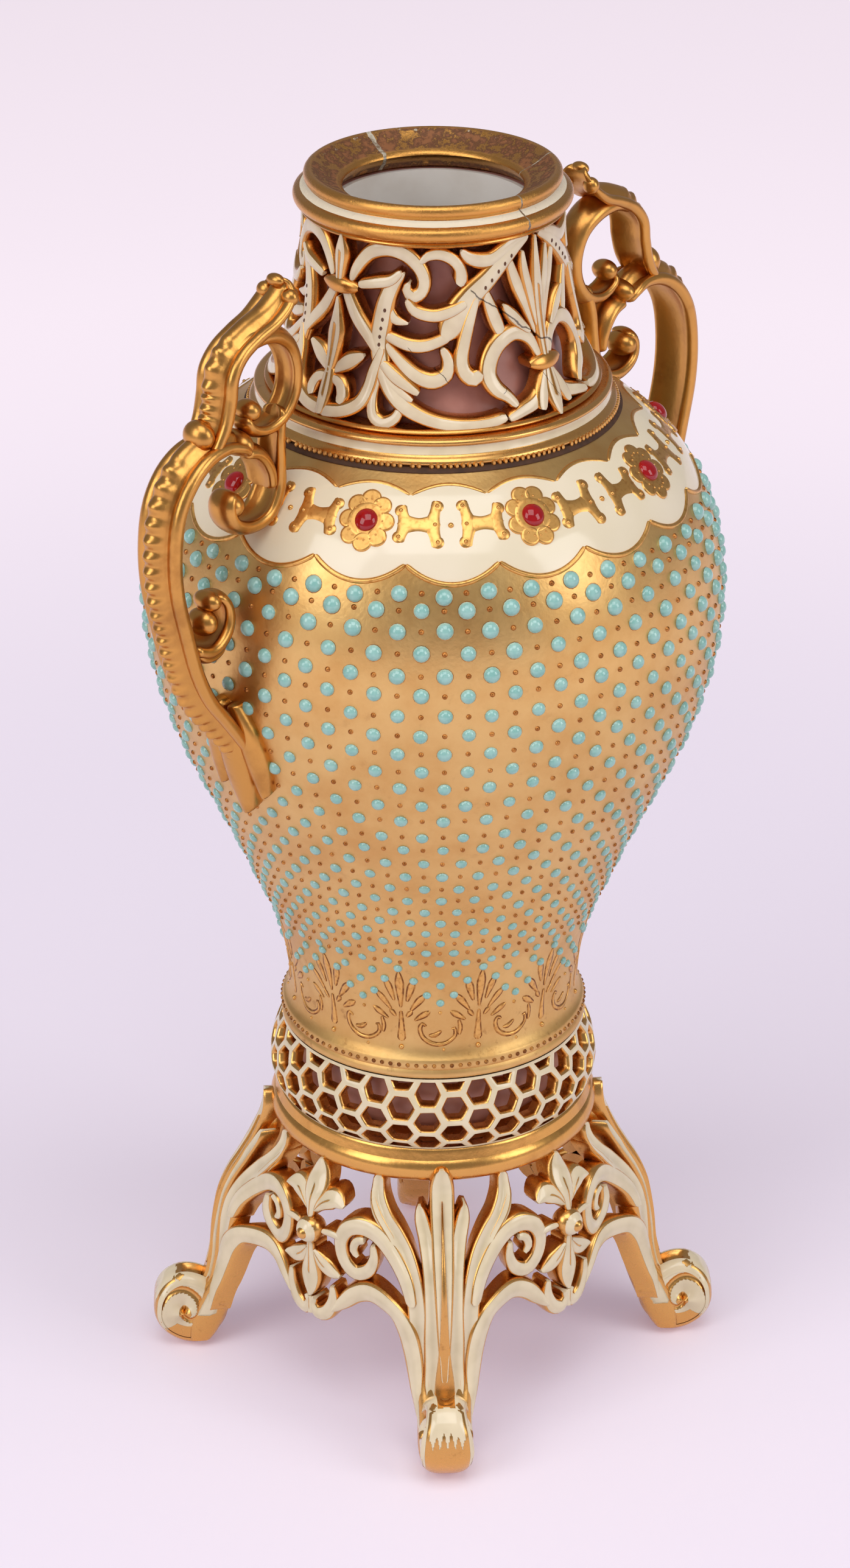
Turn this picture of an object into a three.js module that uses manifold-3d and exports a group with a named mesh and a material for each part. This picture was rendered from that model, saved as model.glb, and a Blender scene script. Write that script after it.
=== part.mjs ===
// Jewelled porcelain baluster vase with a pierced neck, a honeycomb foot and an openwork stand.
// Millimetres, +Z up. The origin is on the table, on the vase's axis. The handles lie on the X axis
// and the four legs on the diagonals. Angles are in degrees, anticlockwise from +X seen from above.

import * as THREE from 'three';
import { mergeVertices } from 'three/addons/utils/BufferGeometryUtils.js';
import Module from 'manifold-3d';

const wasm = await Module();
wasm.setup();
const { Manifold } = wasm;

// Heights of the pieces, each of which stands on the one before
const STAND_HEIGHT = 50.8;
const RING_HEIGHT = 6.4;
const HONEYCOMB_HEIGHT = 13.8;
const BODY_HEIGHT = 118.3;
const NECK_RING_HEIGHT = 5.7;
const COLLAR_HEIGHT = 31.4;
const RIM_HEIGHT = 7.0;

// Heights of the joints between them, from the table up
const RING_TOP = STAND_HEIGHT + RING_HEIGHT;
const BODY_FOOT = RING_TOP + HONEYCOMB_HEIGHT;
const SHOULDER_LAND = BODY_FOOT + BODY_HEIGHT;
const COLLAR_FOOT = SHOULDER_LAND + NECK_RING_HEIGHT;
const COLLAR_TOP = COLLAR_FOOT + COLLAR_HEIGHT;

// Where the body is narrowest and widest, above its own foot
const WAIST_HEIGHT = 7.5;
const BELLY_HEIGHT = 85.0;

// Radii, outside, at the places that fix each outline
const LEG_CONTACT_RADIUS = 45;
const PANEL_RADIUS = 33.4;
const HONEYCOMB_RADIUS = 30.0;
const HONEYCOMB_FOOT_RADIUS = 28.5;
const BODY_FOOT_RADIUS = 27.5;
const WAIST_RADIUS = 26.3;
const BELLY_RADIUS = 50.6;
const SHOULDER_RADIUS = 32.6;
const COLLAR_FOOT_RADIUS = 28.6;
const COLLAR_TOP_RADIUS = 22.0;
const RING_PROUD = 1.4;
const RIM_PROUD = 1.3;
const RIM_WALL = 8.0;
const RING_WALL = 10.9;

// Walls and clearances
const BODY_WALL = 2.9;
const LINER_WALL = 1.6;
const BOWL_WALL = 2.4;
const HONEYCOMB_WALL = 2.2;
const COLLAR_THICKNESS = 2.8;
const STAND_THICKNESS = 3.8;
const LINER_CLEARANCE = 1.2;
const BOWL_CLEARANCE = 3.0;
const SEAM = 0.3;

// What follows from the radii and the walls
const RING_RADIUS = HONEYCOMB_FOOT_RADIUS + RING_PROUD;
const RIM_RADIUS = COLLAR_TOP_RADIUS + RIM_PROUD;
const MOUTH_RADIUS = RIM_RADIUS - RIM_WALL;
const LINER_FOOT_RADIUS = COLLAR_FOOT_RADIUS - COLLAR_THICKNESS - LINER_CLEARANCE;

// Openwork
const HONEYCOMB_COLUMNS = 38;
const HONEYCOMB_ROWS = 3;
const HONEYCOMB_WEB = 1.15;
const HONEYCOMB_START = -139.85;
const LEG_COUNT = 4;
const JEWEL_COUNT = 9;
const JEWEL_WIDTH = 3.9;
const JEWEL_HEIGHT = 1.3;
const JEWEL_DROP = 5.2;
const FIRST_JEWEL_ANGLE = -153.7;

// Enamel drops, at the belly; they shrink with the body
const DROP_COLUMNS = 40;
const FIRST_DROP_ANGLE = -135.65;
const DROP_WIDTH = 3.1;
const DROP_RISE = 1.1;

// Foot scroll
const FOOT_WIDTH = 10.5;
const FOOT_FLAT = 3.6;
const SCROLL_HEIGHT = 15.4;
const SCROLL_REACH = 8.1;

// Handles
const HANDLE_STANDOFF = 14.6;
const HANDLE_HALF_WIDTH = 4.3;
const HANDLE_CROWN = 4.1;

const TURN_STEPS = 32;
const RING_STEPS = 24;
const HIDDEN_STEPS = 16;
const OUTLINE_TOLERANCE = 0.25;
const OPENWORK_TOLERANCE = 0.1;

const DEGREE = Math.PI / 180;

// Finishes
const gilt = new THREE.MeshStandardMaterial({ color: 0xb8842e, roughness: 0.3, metalness: 0.9 });
const satinGold = new THREE.MeshStandardMaterial({ color: 0xc9914a, roughness: 0.5, metalness: 0.7 });
const wornGold = new THREE.MeshStandardMaterial({ color: 0x5e4320, roughness: 0.6, metalness: 0.6 });
const ivory = new THREE.MeshStandardMaterial({ color: 0xece0c6, roughness: 0.25, metalness: 0 });
const blush = new THREE.MeshStandardMaterial({ color: 0xb27f78, roughness: 0.35, metalness: 0 });
const ruby = new THREE.MeshStandardMaterial({ color: 0x9c1420, roughness: 0.1, metalness: 0 });

const { lerp } = THREE.MathUtils;

// A smooth curve through a few (height, radius) stations, read as radius at a height
function outline(stations) {
  const points = stations.map(([z, r]) => new THREE.Vector2(z, r));
  return (z) => {
    let k = 0;
    while (k < points.length - 2 && z > points[k + 1].x) k += 1;
    const before = points[Math.max(k - 1, 0)];
    const from = points[k];
    const to = points[k + 1];
    const after = points[Math.min(k + 2, points.length - 1)];
    const span = to.x - from.x;
    const t = THREE.MathUtils.clamp((z - from.x) / span, 0, 1);
    const slope = (to.y - from.y) / span;
    const slopeIn = k === 0 ? slope : flatter(slope, (from.y - before.y) / (from.x - before.x));
    const slopeOut = k === points.length - 2 ? slope : flatter(slope, (after.y - to.y) / (after.x - to.x));
    const t2 = t * t;
    const t3 = t2 * t;
    return (2 * t3 - 3 * t2 + 1) * from.y + (t3 - 2 * t2 + t) * span * slopeIn
      + (3 * t2 - 2 * t3) * to.y + (t3 - t2) * span * slopeOut;
  };
}

// The harmonic mean of two slopes, or level where they disagree, so that a curve never overshoots
function flatter(a, b) {
  return a * b <= 0 ? 0 : 2 * a * b / (a + b);
}

// Turns a closed (radius, height) profile about the vase's axis
function turned(profile, steps = RING_STEPS) {
  const points = profile.map(([r, z]) => new THREE.Vector2(r, z));
  points.push(points[0].clone());
  return solid(new THREE.LatheGeometry(points, steps).rotateX(Math.PI / 2));
}

// Turns a profile that starts and ends on its own axis
function domed(profile, steps) {
  const points = profile.map(([r, z]) => new THREE.Vector2(r, z));
  return new THREE.LatheGeometry(points, steps).rotateX(Math.PI / 2);
}

// Makes a solid of a closed mesh, with its faces turned outwards
function solid(source) {
  const bare = source.index ? source.toNonIndexed() : source;
  bare.deleteAttribute('normal');
  bare.deleteAttribute('uv');
  const merged = mergeVertices(bare, 1e-4);
  const corners = merged.attributes.position.array;
  const faces = [];
  const index = merged.index.array;
  for (let k = 0; k < index.length; k += 3) {
    const [a, b, c] = [index[k], index[k + 1], index[k + 2]];
    if (a !== b && b !== c && c !== a) faces.push(a, b, c);
  }
  const mesh = (triangles) => new Manifold(new wasm.Mesh({
    numProp: 3, vertProperties: new Float32Array(corners), triVerts: new Uint32Array(triangles),
  }));
  const first = mesh(faces);
  return first.volume() > 0 ? first : mesh(faces.reverse());
}

function joined(solids) {
  return Manifold.union(solids);
}

// A named piece from a solid
function piece(name, body, material, tolerance = 0.02) {
  const { vertProperties, triVerts } = body.simplify(tolerance).getMesh();
  const geometry = new THREE.BufferGeometry();
  geometry.setAttribute('position', new THREE.BufferAttribute(new Float32Array(vertProperties), 3));
  geometry.setIndex(new THREE.BufferAttribute(new Uint32Array(triVerts), 1));
  const mesh = new THREE.Mesh(geometry.toNonIndexed(), material);
  mesh.geometry.computeVertexNormals();
  mesh.name = name;
  return mesh;
}

// Joins rings of points, one after another, into a closed skin
function loft(rings) {
  const count = rings[0].length;
  const corners = rings.flat();
  const faces = [];
  for (let k = 0; k < rings.length - 1; k += 1) {
    for (let j = 0; j < count; j += 1) {
      const a = k * count + j;
      const b = k * count + (j + 1) % count;
      faces.push(a, b, b + count, a, b + count, a + count);
    }
  }
  const last = (rings.length - 1) * count;
  for (let j = 1; j < count - 1; j += 1) {
    faces.push(0, j + 1, j, last, last + j, last + j + 1);
  }
  const geometry = new THREE.BufferGeometry().setFromPoints(faces.map((corner) => corners[corner]));
  return solid(geometry);
}

// The outline of a stroke through [along, up, width] points, drawn flat
function strokeOutline(points, spare) {
  const left = [];
  const right = [];
  points.forEach(([x, y, width], k) => {
    const before = points[Math.max(k - 1, 0)];
    const after = points[Math.min(k + 1, points.length - 1)];
    const along = new THREE.Vector2(after[0] - before[0], after[1] - before[1]).normalize();
    const half = width / 2 + spare;
    left.push(new THREE.Vector2(x - along.y * half, y + along.x * half));
    right.push(new THREE.Vector2(x + along.y * half, y - along.x * half));
  });
  return [...left, ...right.reverse()];
}

// Openwork in a curved wall: strokes of [degrees, height, width] points, joined flat and bent to it
function openwork(strokes, wall, depth, spare = 0) {
  const flat = joined(strokes.map((points) => {
    const line = points.map(([angle, z, width]) => [angle * wall.arc, z, width]);
    const shape = new THREE.Shape(strokeOutline(line, spare));
    return solid(new THREE.ExtrudeGeometry(shape, { depth: depth + 2 * spare, bevelEnabled: false }));
  }));
  const { vertProperties, triVerts } = flat.simplify(OUTLINE_TOLERANCE).getMesh();
  const bent = Array.from(triVerts, (corner) => {
    const [x, y, z] = vertProperties.slice(3 * corner, 3 * corner + 3);
    return wall.at(x / wall.arc, y, z - spare);
  });
  return solid(new THREE.BufferGeometry().setFromPoints(bent));
}

// Strokes drawn as [degrees, up, width], the last two in percent of a piece's height, at their real size
function raised(strokes, foot, height) {
  const one = height / 100;
  return strokes.map((points) => points.map(([angle, up, width]) => [angle, foot + up * one, width * one]));
}

// Strokes drawn on one side of an axis, with their mirror images on the other
function mirrored(strokes, axis) {
  const other = strokes.map((points) => points.map(([angle, z, width]) => [2 * axis - angle, z, width]));
  return [...strokes, ...other];
}

// A round boss on a wall
function boss(angle, z, radius, wall, depth, proud) {
  const turns = 8;
  const ring = (inset, r) => Array.from({ length: turns }, (_, k) => {
    const turn = k * 2 * Math.PI / turns;
    return wall.at(angle + r * Math.cos(turn) / wall.arc, z + r * Math.sin(turn), inset);
  });
  return loft([ring(depth + 0.4, radius), ring(-proud / 2, radius), ring(-proud, radius * 0.6)]);
}

// A point at an angle in degrees, a radius and a height
function polar(angle, radius, z) {
  return new THREE.Vector3(radius * Math.cos(angle * DEGREE), radius * Math.sin(angle * DEGREE), z);
}

// Rim ring, in percent of its wall, from the mouth out, and of its height: a gilt roll, an ivory
// hollow and a wider gilt roll, with a sloping seat inside
const RIM_PROFILE = [
  [4, 29], [0, 40], [45, 86], [55, 100], [60, 93], [65, 79], [61, 61], [76, 44], [94, 37], [100, 23],
  [94, 7], [80, 0], [27.5, 0],
];

function rimRing() {
  return turned(RIM_PROFILE.map(([out, up]) => [
    lerp(MOUTH_RADIUS, RIM_RADIUS, out / 100), COLLAR_TOP + RIM_HEIGHT * up / 100,
  ]));
}

// Neck collar, a cone that flares towards its foot, in percent of its height and of its flare
const COLLAR_CURVE = [[0, 100], [16, 70], [29, 48], [41, 33], [60.5, 18], [100, 0]];
const collarRadius = outline(COLLAR_CURVE.map(([up, out]) => [
  lerp(COLLAR_FOOT, COLLAR_TOP, up / 100), lerp(COLLAR_TOP_RADIUS, COLLAR_FOOT_RADIUS, out / 100),
]));
const NECK_ARC = (COLLAR_TOP_RADIUS + COLLAR_FOOT_RADIUS) / 2 * DEGREE;

// One quarter of the collar's scrollwork, from the handle's axis at 0 to the middle of the face at 90
const NECK_SCROLLS = [
  [[6.9, 79.3, 5.7], [10.1, 86, 7.3], [14.9, 92.4, 8.3], [22.7, 94.9, 8.3], [30.7, 92.4, 8.3],
    [36.2, 86, 8], [38.2, 79.6, 7.3], [37.2, 73.9, 6.7], [33.6, 70.4, 6.4], [30.6, 73.9, 5.1]],
  [[27.5, 80.3, 5.1], [23.2, 71.3, 7.6], [21.2, 59.6, 9.6], [20.1, 51.9, 10.2], [19.6, 43, 9.6],
    [21.2, 35.4, 8.9], [23.6, 27.7, 8.3], [27.5, 19.4, 8], [32.2, 13.4, 7.3], [39.4, 8, 6.4],
    [46.5, 4.8, 6.1], [54.4, 3.5, 5.7], [62.2, 3.8, 5.4], [68.6, 5.7, 4.5]],
  [[22.5, 63.7, 5.7], [26.5, 57.3, 5.1], [32, 55.7, 2.5]],
  [[21.9, 35, 5.1], [28, 27.4, 6.1], [38, 19.7, 4.1]],
  [[38, 90.4, 4.8], [45, 93, 6.1], [51.2, 89.8, 6.4], [54.2, 84.1, 6.7], [54.2, 78.3, 7]],
  [[31.5, 68.2, 4.5], [35.5, 62.1, 5.7], [42.5, 60.5, 6.1], [49.7, 62.7, 5.7], [56, 66.6, 5.1]],
  [[24, 47.5, 5.7], [32.2, 44.6, 6.1], [39.4, 44.9, 6.1], [48, 49, 5.4]],
  [[23, 42.7, 4.5], [31.5, 33.1, 6.1], [37, 28, 6.7], [42.5, 26.4, 7], [47.3, 29.9, 6.4],
    [47.8, 36, 5.7], [44.5, 43.9, 4.5]],
  [[59.9, 65.9, 4.5], [56.8, 53.5, 5.7], [54.4, 45.9, 6.1], [53.2, 38.2, 6.1], [54, 31.5, 6.4],
    [57.6, 26.8, 7], [63.5, 29.3, 6.1]],
  [[85.9, 96.2, 5.7], [75.8, 89.2, 9.6], [66.3, 78.7, 10.2], [59.1, 71.7, 11.5], [52.8, 62.7, 13.4],
    [48, 52.9, 10.2], [46.5, 48.4, 5.1]],
  [[65, 73.2, 4.5], [67.3, 62.1, 6.4], [70.2, 51, 6.4], [72.5, 44.6, 4.5]],
  [[73, 62.4, 4.5], [77.5, 54.1, 6.1], [83.5, 46.2, 3.8]],
  [[55, 93, 5.1], [60.7, 88.9, 7], [67.9, 88.5, 7], [75.6, 93, 7], [84.4, 96.2, 5.1]],
  [[87.6, 45.9, 5.1], [84, 60.5, 6.4], [78.9, 74.8, 7], [76.5, 87.9, 5.7]],
  [[86.9, 33.4, 5.1], [82, 44.3, 7], [75, 45.9, 7.6], [68.6, 42, 8.3], [64.7, 35.4, 8.3],
    [63.9, 27.7, 7.6], [67.1, 20.1, 7], [72, 15, 5.1], [74, 8.9, 4.8]],
  [[90, 24.2, 5.7], [86.9, 15.6, 6.4], [82.1, 9.6, 6.4], [73.2, 6.4, 5.1]],
  [[3.2, 68.8, 7], [8.5, 56.7, 7.3], [15.6, 46.8, 6.1], [20, 40.1, 4.8]],
  [[0.8, 26.8, 4.5], [8.5, 32.2, 8.3], [14.1, 35.7, 4.5]],
  [[21, 36.6, 4.5], [18, 29.3, 5.4], [17.2, 19.4, 5.7], [14.9, 12.4, 6.1], [8.5, 7, 6.4],
    [0, 4.5, 6.4]],
  [[0, 23.6, 4.8], [6.2, 19.4, 5.7], [7.4, 11.5, 5.1]],
];

// Leaves that stand on the collar's two axes, one list for the handle's and one for the face's
const HANDLE_AXIS_LEAVES = [
  [[0, 71.7, 5.1], [0, 87.6, 10.8], [0, 98.7, 3.2]],
  [[0, 25.5, 5.1], [0, 44.6, 11.5], [0, 62.1, 2.9], [0, 71.7, 3.8]],
  [[0, 28.7, 5.7], [0, 15.9, 7.6], [0, 3.2, 5.7]],
];
const FACE_AXIS_LEAVES = [
  [[90, 28.7, 5.7], [90, 66.9, 8.9], [90, 86, 7], [90, 98.7, 3.8]],
  [[90, 28.7, 4.5], [90, 14.3, 10.2], [90, 2.5, 5.1]],
];
const HANDLE_TIE = { centre: 0, up: 71.7, half: 10, width: 9.6 };
const FACE_TIE = { centre: 90, up: 28.7, half: 8.5, width: 8.3 };
const TIE_PROUD = 1.1;
const RAIL = 1.1;
const RAIL_PROUD = 0.4;

function neckCollar() {
  const parts = [];
  for (const start of [0, 180]) {
    const wall = {
      arc: NECK_ARC,
      at: (angle, z, inset) => polar(start + angle, collarRadius(z) - inset, z),
    };
    const strokes = [...mirrored(NECK_SCROLLS, 0), ...HANDLE_AXIS_LEAVES, ...FACE_AXIS_LEAVES];
    parts.push(openwork(raised(strokes, COLLAR_FOOT, COLLAR_HEIGHT), wall, COLLAR_THICKNESS));
    for (const { centre, up, half, width } of [HANDLE_TIE, FACE_TIE]) {
      const proud = {
        arc: NECK_ARC,
        at: (angle, z, inset) => wall.at(angle, z, inset - TIE_PROUD * Math.cos((angle - centre) / half)),
      };
      const line = [-1, -0.5, 0, 0.5, 1].map((k) => [centre + k * half, up, width * (1 - 0.35 * k * k)]);
      parts.push(openwork(raised([line], COLLAR_FOOT, COLLAR_HEIGHT), proud, COLLAR_THICKNESS));
    }
  }
  for (const [low, high] of [[COLLAR_FOOT, COLLAR_FOOT + RAIL], [COLLAR_TOP - RAIL, COLLAR_TOP]]) {
    parts.push(turned([
      [collarRadius(low) - COLLAR_THICKNESS - RAIL_PROUD, low], [collarRadius(low) + RAIL_PROUD, low],
      [collarRadius(high) + RAIL_PROUD, high], [collarRadius(high) - COLLAR_THICKNESS - RAIL_PROUD, high],
    ], RING_STEPS));
  }
  return joined(parts);
}

// Neck foot ring: a gilt bead, an ivory band and a gilt beaded edge that sits on the shoulder
function neckFootRing() {
  const out = SHOULDER_RADIUS - 1.0;
  const bore = COLLAR_FOOT_RADIUS - COLLAR_THICKNESS - RAIL_PROUD;
  const profile = [[out, 0], [out + 0.8, 16], [out + 0.4, 35], [out - 1.0, 47], [out - 1.4, 74],
    [out - 1.1, 86], [out - 1.7, 100], [bore, 100], [bore, 0]];
  return turned(profile.map(([r, up]) => [r, SHOULDER_LAND + NECK_RING_HEIGHT * up / 100]));
}

// Neck liner: the plain inner wall that shows through the piercing
function neckLiner() {
  const outside = (z) => collarRadius(z) - COLLAR_THICKNESS - LINER_CLEARANCE;
  const inCollar = [0, 16, 41].map((up) => COLLAR_FOOT + COLLAR_HEIGHT * up / 100);
  const heights = [SHOULDER_LAND, ...inCollar, COLLAR_TOP - SEAM];
  const outer = heights.map((z) => [outside(z), z]);
  const inner = heights.map((z) => [outside(z) - LINER_WALL, z]).reverse();
  return turned([...outer, ...inner], HIDDEN_STEPS);
}

// Body: a baluster from the moulded foot lip, through the waist and the belly, to the shoulder. Its two
// curves are in percent: of the way up from the waist and out to the belly, and on up to the shoulder.
const WAIST = BODY_FOOT + WAIST_HEIGHT;
const BELLY = BODY_FOOT + BELLY_HEIGHT;
const BELLY_RISE = [[5, 2], [11, 5], [20.6, 13], [27.7, 22.6], [39.4, 39], [52.3, 58], [65, 76.5], [78, 90.5],
  [90, 98]];
const SHOULDER_FALL = [[21, 97], [39, 90], [56, 78], [72, 63], [84, 43], [93, 23]];
const bodyRadius = outline([
  [BODY_FOOT, BODY_FOOT_RADIUS], [BODY_FOOT + 2, BODY_FOOT_RADIUS + 0.1],
  [BODY_FOOT + WAIST_HEIGHT / 2, BODY_FOOT_RADIUS], [WAIST, WAIST_RADIUS],
  ...BELLY_RISE.map(([up, out]) => [
    lerp(WAIST, BELLY, up / 100), lerp(WAIST_RADIUS, BELLY_RADIUS, out / 100)]),
  [BELLY, BELLY_RADIUS],
  ...SHOULDER_FALL.map(([up, out]) => [
    lerp(BELLY, SHOULDER_LAND, up / 100), lerp(SHOULDER_RADIUS, BELLY_RADIUS, out / 100)]),
  [SHOULDER_LAND, SHOULDER_RADIUS],
]);

// Where the turned body has its rings of corners, in percent of its height
const OUTER_LEVELS = [0, 3.2, 6.3, 12.7, 21, 33, 46.5, 57.5, 67, 75, 84, 90.5, 95.5, 100];
const INNER_LEVELS = [93, 84.5, 72, 57.5, 39, 21, 7.6];
const bodyLevel = (up) => lerp(BODY_FOOT, SHOULDER_LAND, up / 100);

function bodyShell(keptClear) {
  const outer = OUTER_LEVELS.map(bodyLevel).map((z) => [bodyRadius(z), z]);
  const lining = LINER_FOOT_RADIUS - LINER_WALL;
  const inner = [[lining, SHOULDER_LAND], [lining, SHOULDER_LAND - BODY_WALL]];
  for (const z of INNER_LEVELS.map(bodyLevel)) {
    const steep = Math.max(z - BELLY, 0) / (SHOULDER_LAND - BELLY);
    inner.push([bodyRadius(z + 1.2 * BODY_WALL * steep) - BODY_WALL, z]);
  }
  inner.push([BODY_FOOT_RADIUS - BODY_WALL - 2.4, BODY_FOOT]);
  return joined([turned([...outer, ...inner], TURN_STEPS), ...enamelDrops(keptClear)]);
}

// How far the rows of enamel drops lie below the shoulder's land
const DROP_ROWS = [14.8, 20.8, 28.3, 35.6, 42.8, 50.1, 57.3, 64.3];

// Enamel drops on the body. A solid has every second drop of every second row, as low studs, and
// leaves out those that a handle covers.
function enamelDrops(keptClear) {
  const drops = [];
  DROP_ROWS.forEach((down, row) => {
    for (let k = row % 2; k < DROP_COLUMNS; k += 2) {
      const z = SHOULDER_LAND - down;
      const drop = studded(FIRST_DROP_ANGLE + k * 360 / DROP_COLUMNS, z, bodyRadius(z) / BELLY_RADIUS);
      if (keptClear.every((handle) => handle.minGap(drop, SEAM) >= SEAM)) drops.push(drop);
    }
  });
  return drops;
}

// A four-sided stud that covers as much of the body as the round drop does, its lower half sunk in
function studded(angle, z, scale) {
  const corner = DROP_WIDTH / 2 * Math.sqrt(Math.PI / 2) * scale;
  const stud = new THREE.ConeGeometry(2 * corner, 2 * DROP_RISE * scale, 4);
  stud.rotateZ(bodyLean(z) - Math.PI / 2);
  stud.rotateX(Math.PI / 2);
  stud.translate(bodyRadius(z), 0, z).rotateZ(angle * DEGREE);
  return solid(stud);
}

// How far the body's surface leans back from upright
function bodyLean(z) {
  return Math.atan2(bodyRadius(z - 1.5) - bodyRadius(z + 1.5), 3);
}

// Cabochons in a ring round the shoulder, each sitting in its floret
function jewel(k) {
  const half = JEWEL_WIDTH / 2;
  const stone = domed([[0, 0], [half, 0], [half * 0.7, JEWEL_HEIGHT * 0.7], [0, JEWEL_HEIGHT]], 8);
  const level = SHOULDER_LAND - JEWEL_DROP;
  const angle = FIRST_JEWEL_ANGLE + k * 360 / JEWEL_COUNT;
  stone.rotateY(Math.PI / 2 - bodyLean(level));
  stone.translate(bodyRadius(level) + SEAM, 0, level + SEAM * 0.6);
  stone.rotateZ(angle * DEGREE);
  return solid(stone);
}

// Honeycomb: a barrel pierced with staggered six-sided cells
const honeycombRadius = outline([
  [RING_TOP, HONEYCOMB_FOOT_RADIUS], [RING_TOP + HONEYCOMB_HEIGHT * 0.24, HONEYCOMB_RADIUS - 0.1],
  [RING_TOP + HONEYCOMB_HEIGHT * 0.42, HONEYCOMB_RADIUS],
  [RING_TOP + HONEYCOMB_HEIGHT * 0.67, HONEYCOMB_RADIUS - 0.6], [BODY_FOOT, BODY_FOOT_RADIUS],
]);

// Corners of the cells lie on a lattice of thirds of a column across and half cells up. Every hole has
// its corners drawn in from the lattice; webs join facing sides, and a small triangle fills each node.
function honeycombBand() {
  const around = 3 * HONEYCOMB_COLUMNS;
  const high = 2 * HONEYCOMB_ROWS;
  const third = 360 / around;
  const half = (BODY_FOOT - RING_TOP) / high;
  const webAcross = HONEYCOMB_WEB / Math.sqrt(3) / (HONEYCOMB_RADIUS * DEGREE * third);
  const webUp = HONEYCOMB_WEB / 2 / half;
  const narrowed = 1 - webAcross / 2;
  const clipped = 1 - webUp / (1 - webUp) / 2;
  const hexagon = [[2, 0], [1, 1], [-1, 1], [-2, 0], [-1, -1], [1, -1]];
  const skin = [];
  const lattice = new Map();
  const webs = new Map();
  const nodes = new Map();
  const at = ([across, up], inset) => {
    const z = RING_TOP + up * half;
    return polar(HONEYCOMB_START + ((across + around) % around) * third, honeycombRadius(z) - inset, z);
  };
  const fan = (points) => {
    for (let j = 2; j < points.length; j += 1) skin.push(points[0], points[j - 1], points[j]);
  };
  const wall = (from, to) => {
    fan([at(from, 0), at(to, 0), at(to, HONEYCOMB_WALL), at(from, HONEYCOMB_WALL)]);
  };
  const face = (points) => {
    fan(points.map((point) => at(point, 0)));
    fan(points.map((point) => at(point, HONEYCOMB_WALL)).reverse());
  };
  const link = (spot, from, to) => nodes.set(spot, [...(nodes.get(spot) ?? []), [from, to]]);
  for (let k = 0; k < HONEYCOMB_COLUMNS; k += 1) {
    for (let up = 1 - k % 2; up <= high; up += 2) {
      const across = 3 * k;
      const whole = up > 0 && up < high;
      const corners = hexagon.filter(([, b]) => up + b >= 0 && up + b <= high).map(([a, b]) => {
        const spot = `${(across + a + around) % around},${up + b}`;
        lattice.set(spot, [across + a, up + b]);
        const lip = b === 0 && !whole;
        const point = [across + a * narrowed * (lip ? clipped : 1),
          lip ? up + (up === 0 ? webUp : -webUp) : up + b * (1 - webUp)];
        return { spot, point };
      });
      corners.forEach(({ spot, point }, j) => {
        const next = corners[(j + 1) % corners.length];
        webs.set(`${spot} ${next.spot}`, [point, next.point]);
        wall(point, next.point);
      });
    }
  }
  for (const [key, [from, to]] of webs) {
    const [start, end] = key.split(' ');
    const facing = webs.get(`${end} ${start}`);
    if (facing && start > end) continue;
    const [beyondEnd, beyondStart] = facing ?? [lattice.get(end), lattice.get(start)];
    face([to, from, beyondStart, beyondEnd]);
    if (!facing) wall(beyondEnd, beyondStart);
    link(start, beyondStart, from);
    link(end, to, beyondEnd);
  }
  for (const [[first, second], ...others] of nodes.values()) {
    face([first, second, others.find(([from]) => from === second)[1]]);
  }
  return solid(new THREE.BufferGeometry().setFromPoints(skin));
}

// Bowl behind the honeycomb, closed below and open to the body above
function footBowl() {
  const top = BODY_FOOT_RADIUS - BODY_WALL - 1.6;
  const bulge = HONEYCOMB_RADIUS - HONEYCOMB_WALL - BOWL_CLEARANCE;
  const up = (percent) => lerp(RING_TOP, BODY_FOOT, percent / 100);
  return turned([
    [0.001, RING_TOP + BOWL_WALL], [0.001, RING_TOP], [bulge - 3.6, RING_TOP], [bulge - 0.8, up(22)],
    [bulge, up(46)], [bulge - 0.5, up(76)], [top, BODY_FOOT], [top - BOWL_WALL, BODY_FOOT],
    [bulge - 0.5 - BOWL_WALL, up(72)], [bulge - BOWL_WALL, up(46)],
    [bulge - 4.2, RING_TOP + BOWL_WALL + 0.8], [bulge - 7, RING_TOP + BOWL_WALL],
  ], HIDDEN_STEPS);
}

// Stand ring: a gilt moulding with a crease, which the honeycomb sits on and the legs hold
function standRing(spare = 0) {
  const bore = RING_RADIUS - RING_WALL;
  const up = (percent) => STAND_HEIGHT + RING_HEIGHT * percent / 100;
  return turned([
    [bore, RING_TOP], [bore, up(60)], [RING_RADIUS - RING_WALL / 2, STAND_HEIGHT - spare],
    [RING_RADIUS - 0.9 + spare, STAND_HEIGHT - spare], [RING_RADIUS - 0.2 + spare, up(14) - spare],
    [RING_RADIUS + spare, up(34)], [RING_RADIUS - 0.2 + spare, up(56)],
    [RING_RADIUS - 0.8 + spare, up(67) + spare], [RING_RADIUS - 0.9 + spare, up(73) + spare],
    [HONEYCOMB_FOOT_RADIUS + 0.1, RING_TOP + spare],
  ]);
}

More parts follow.
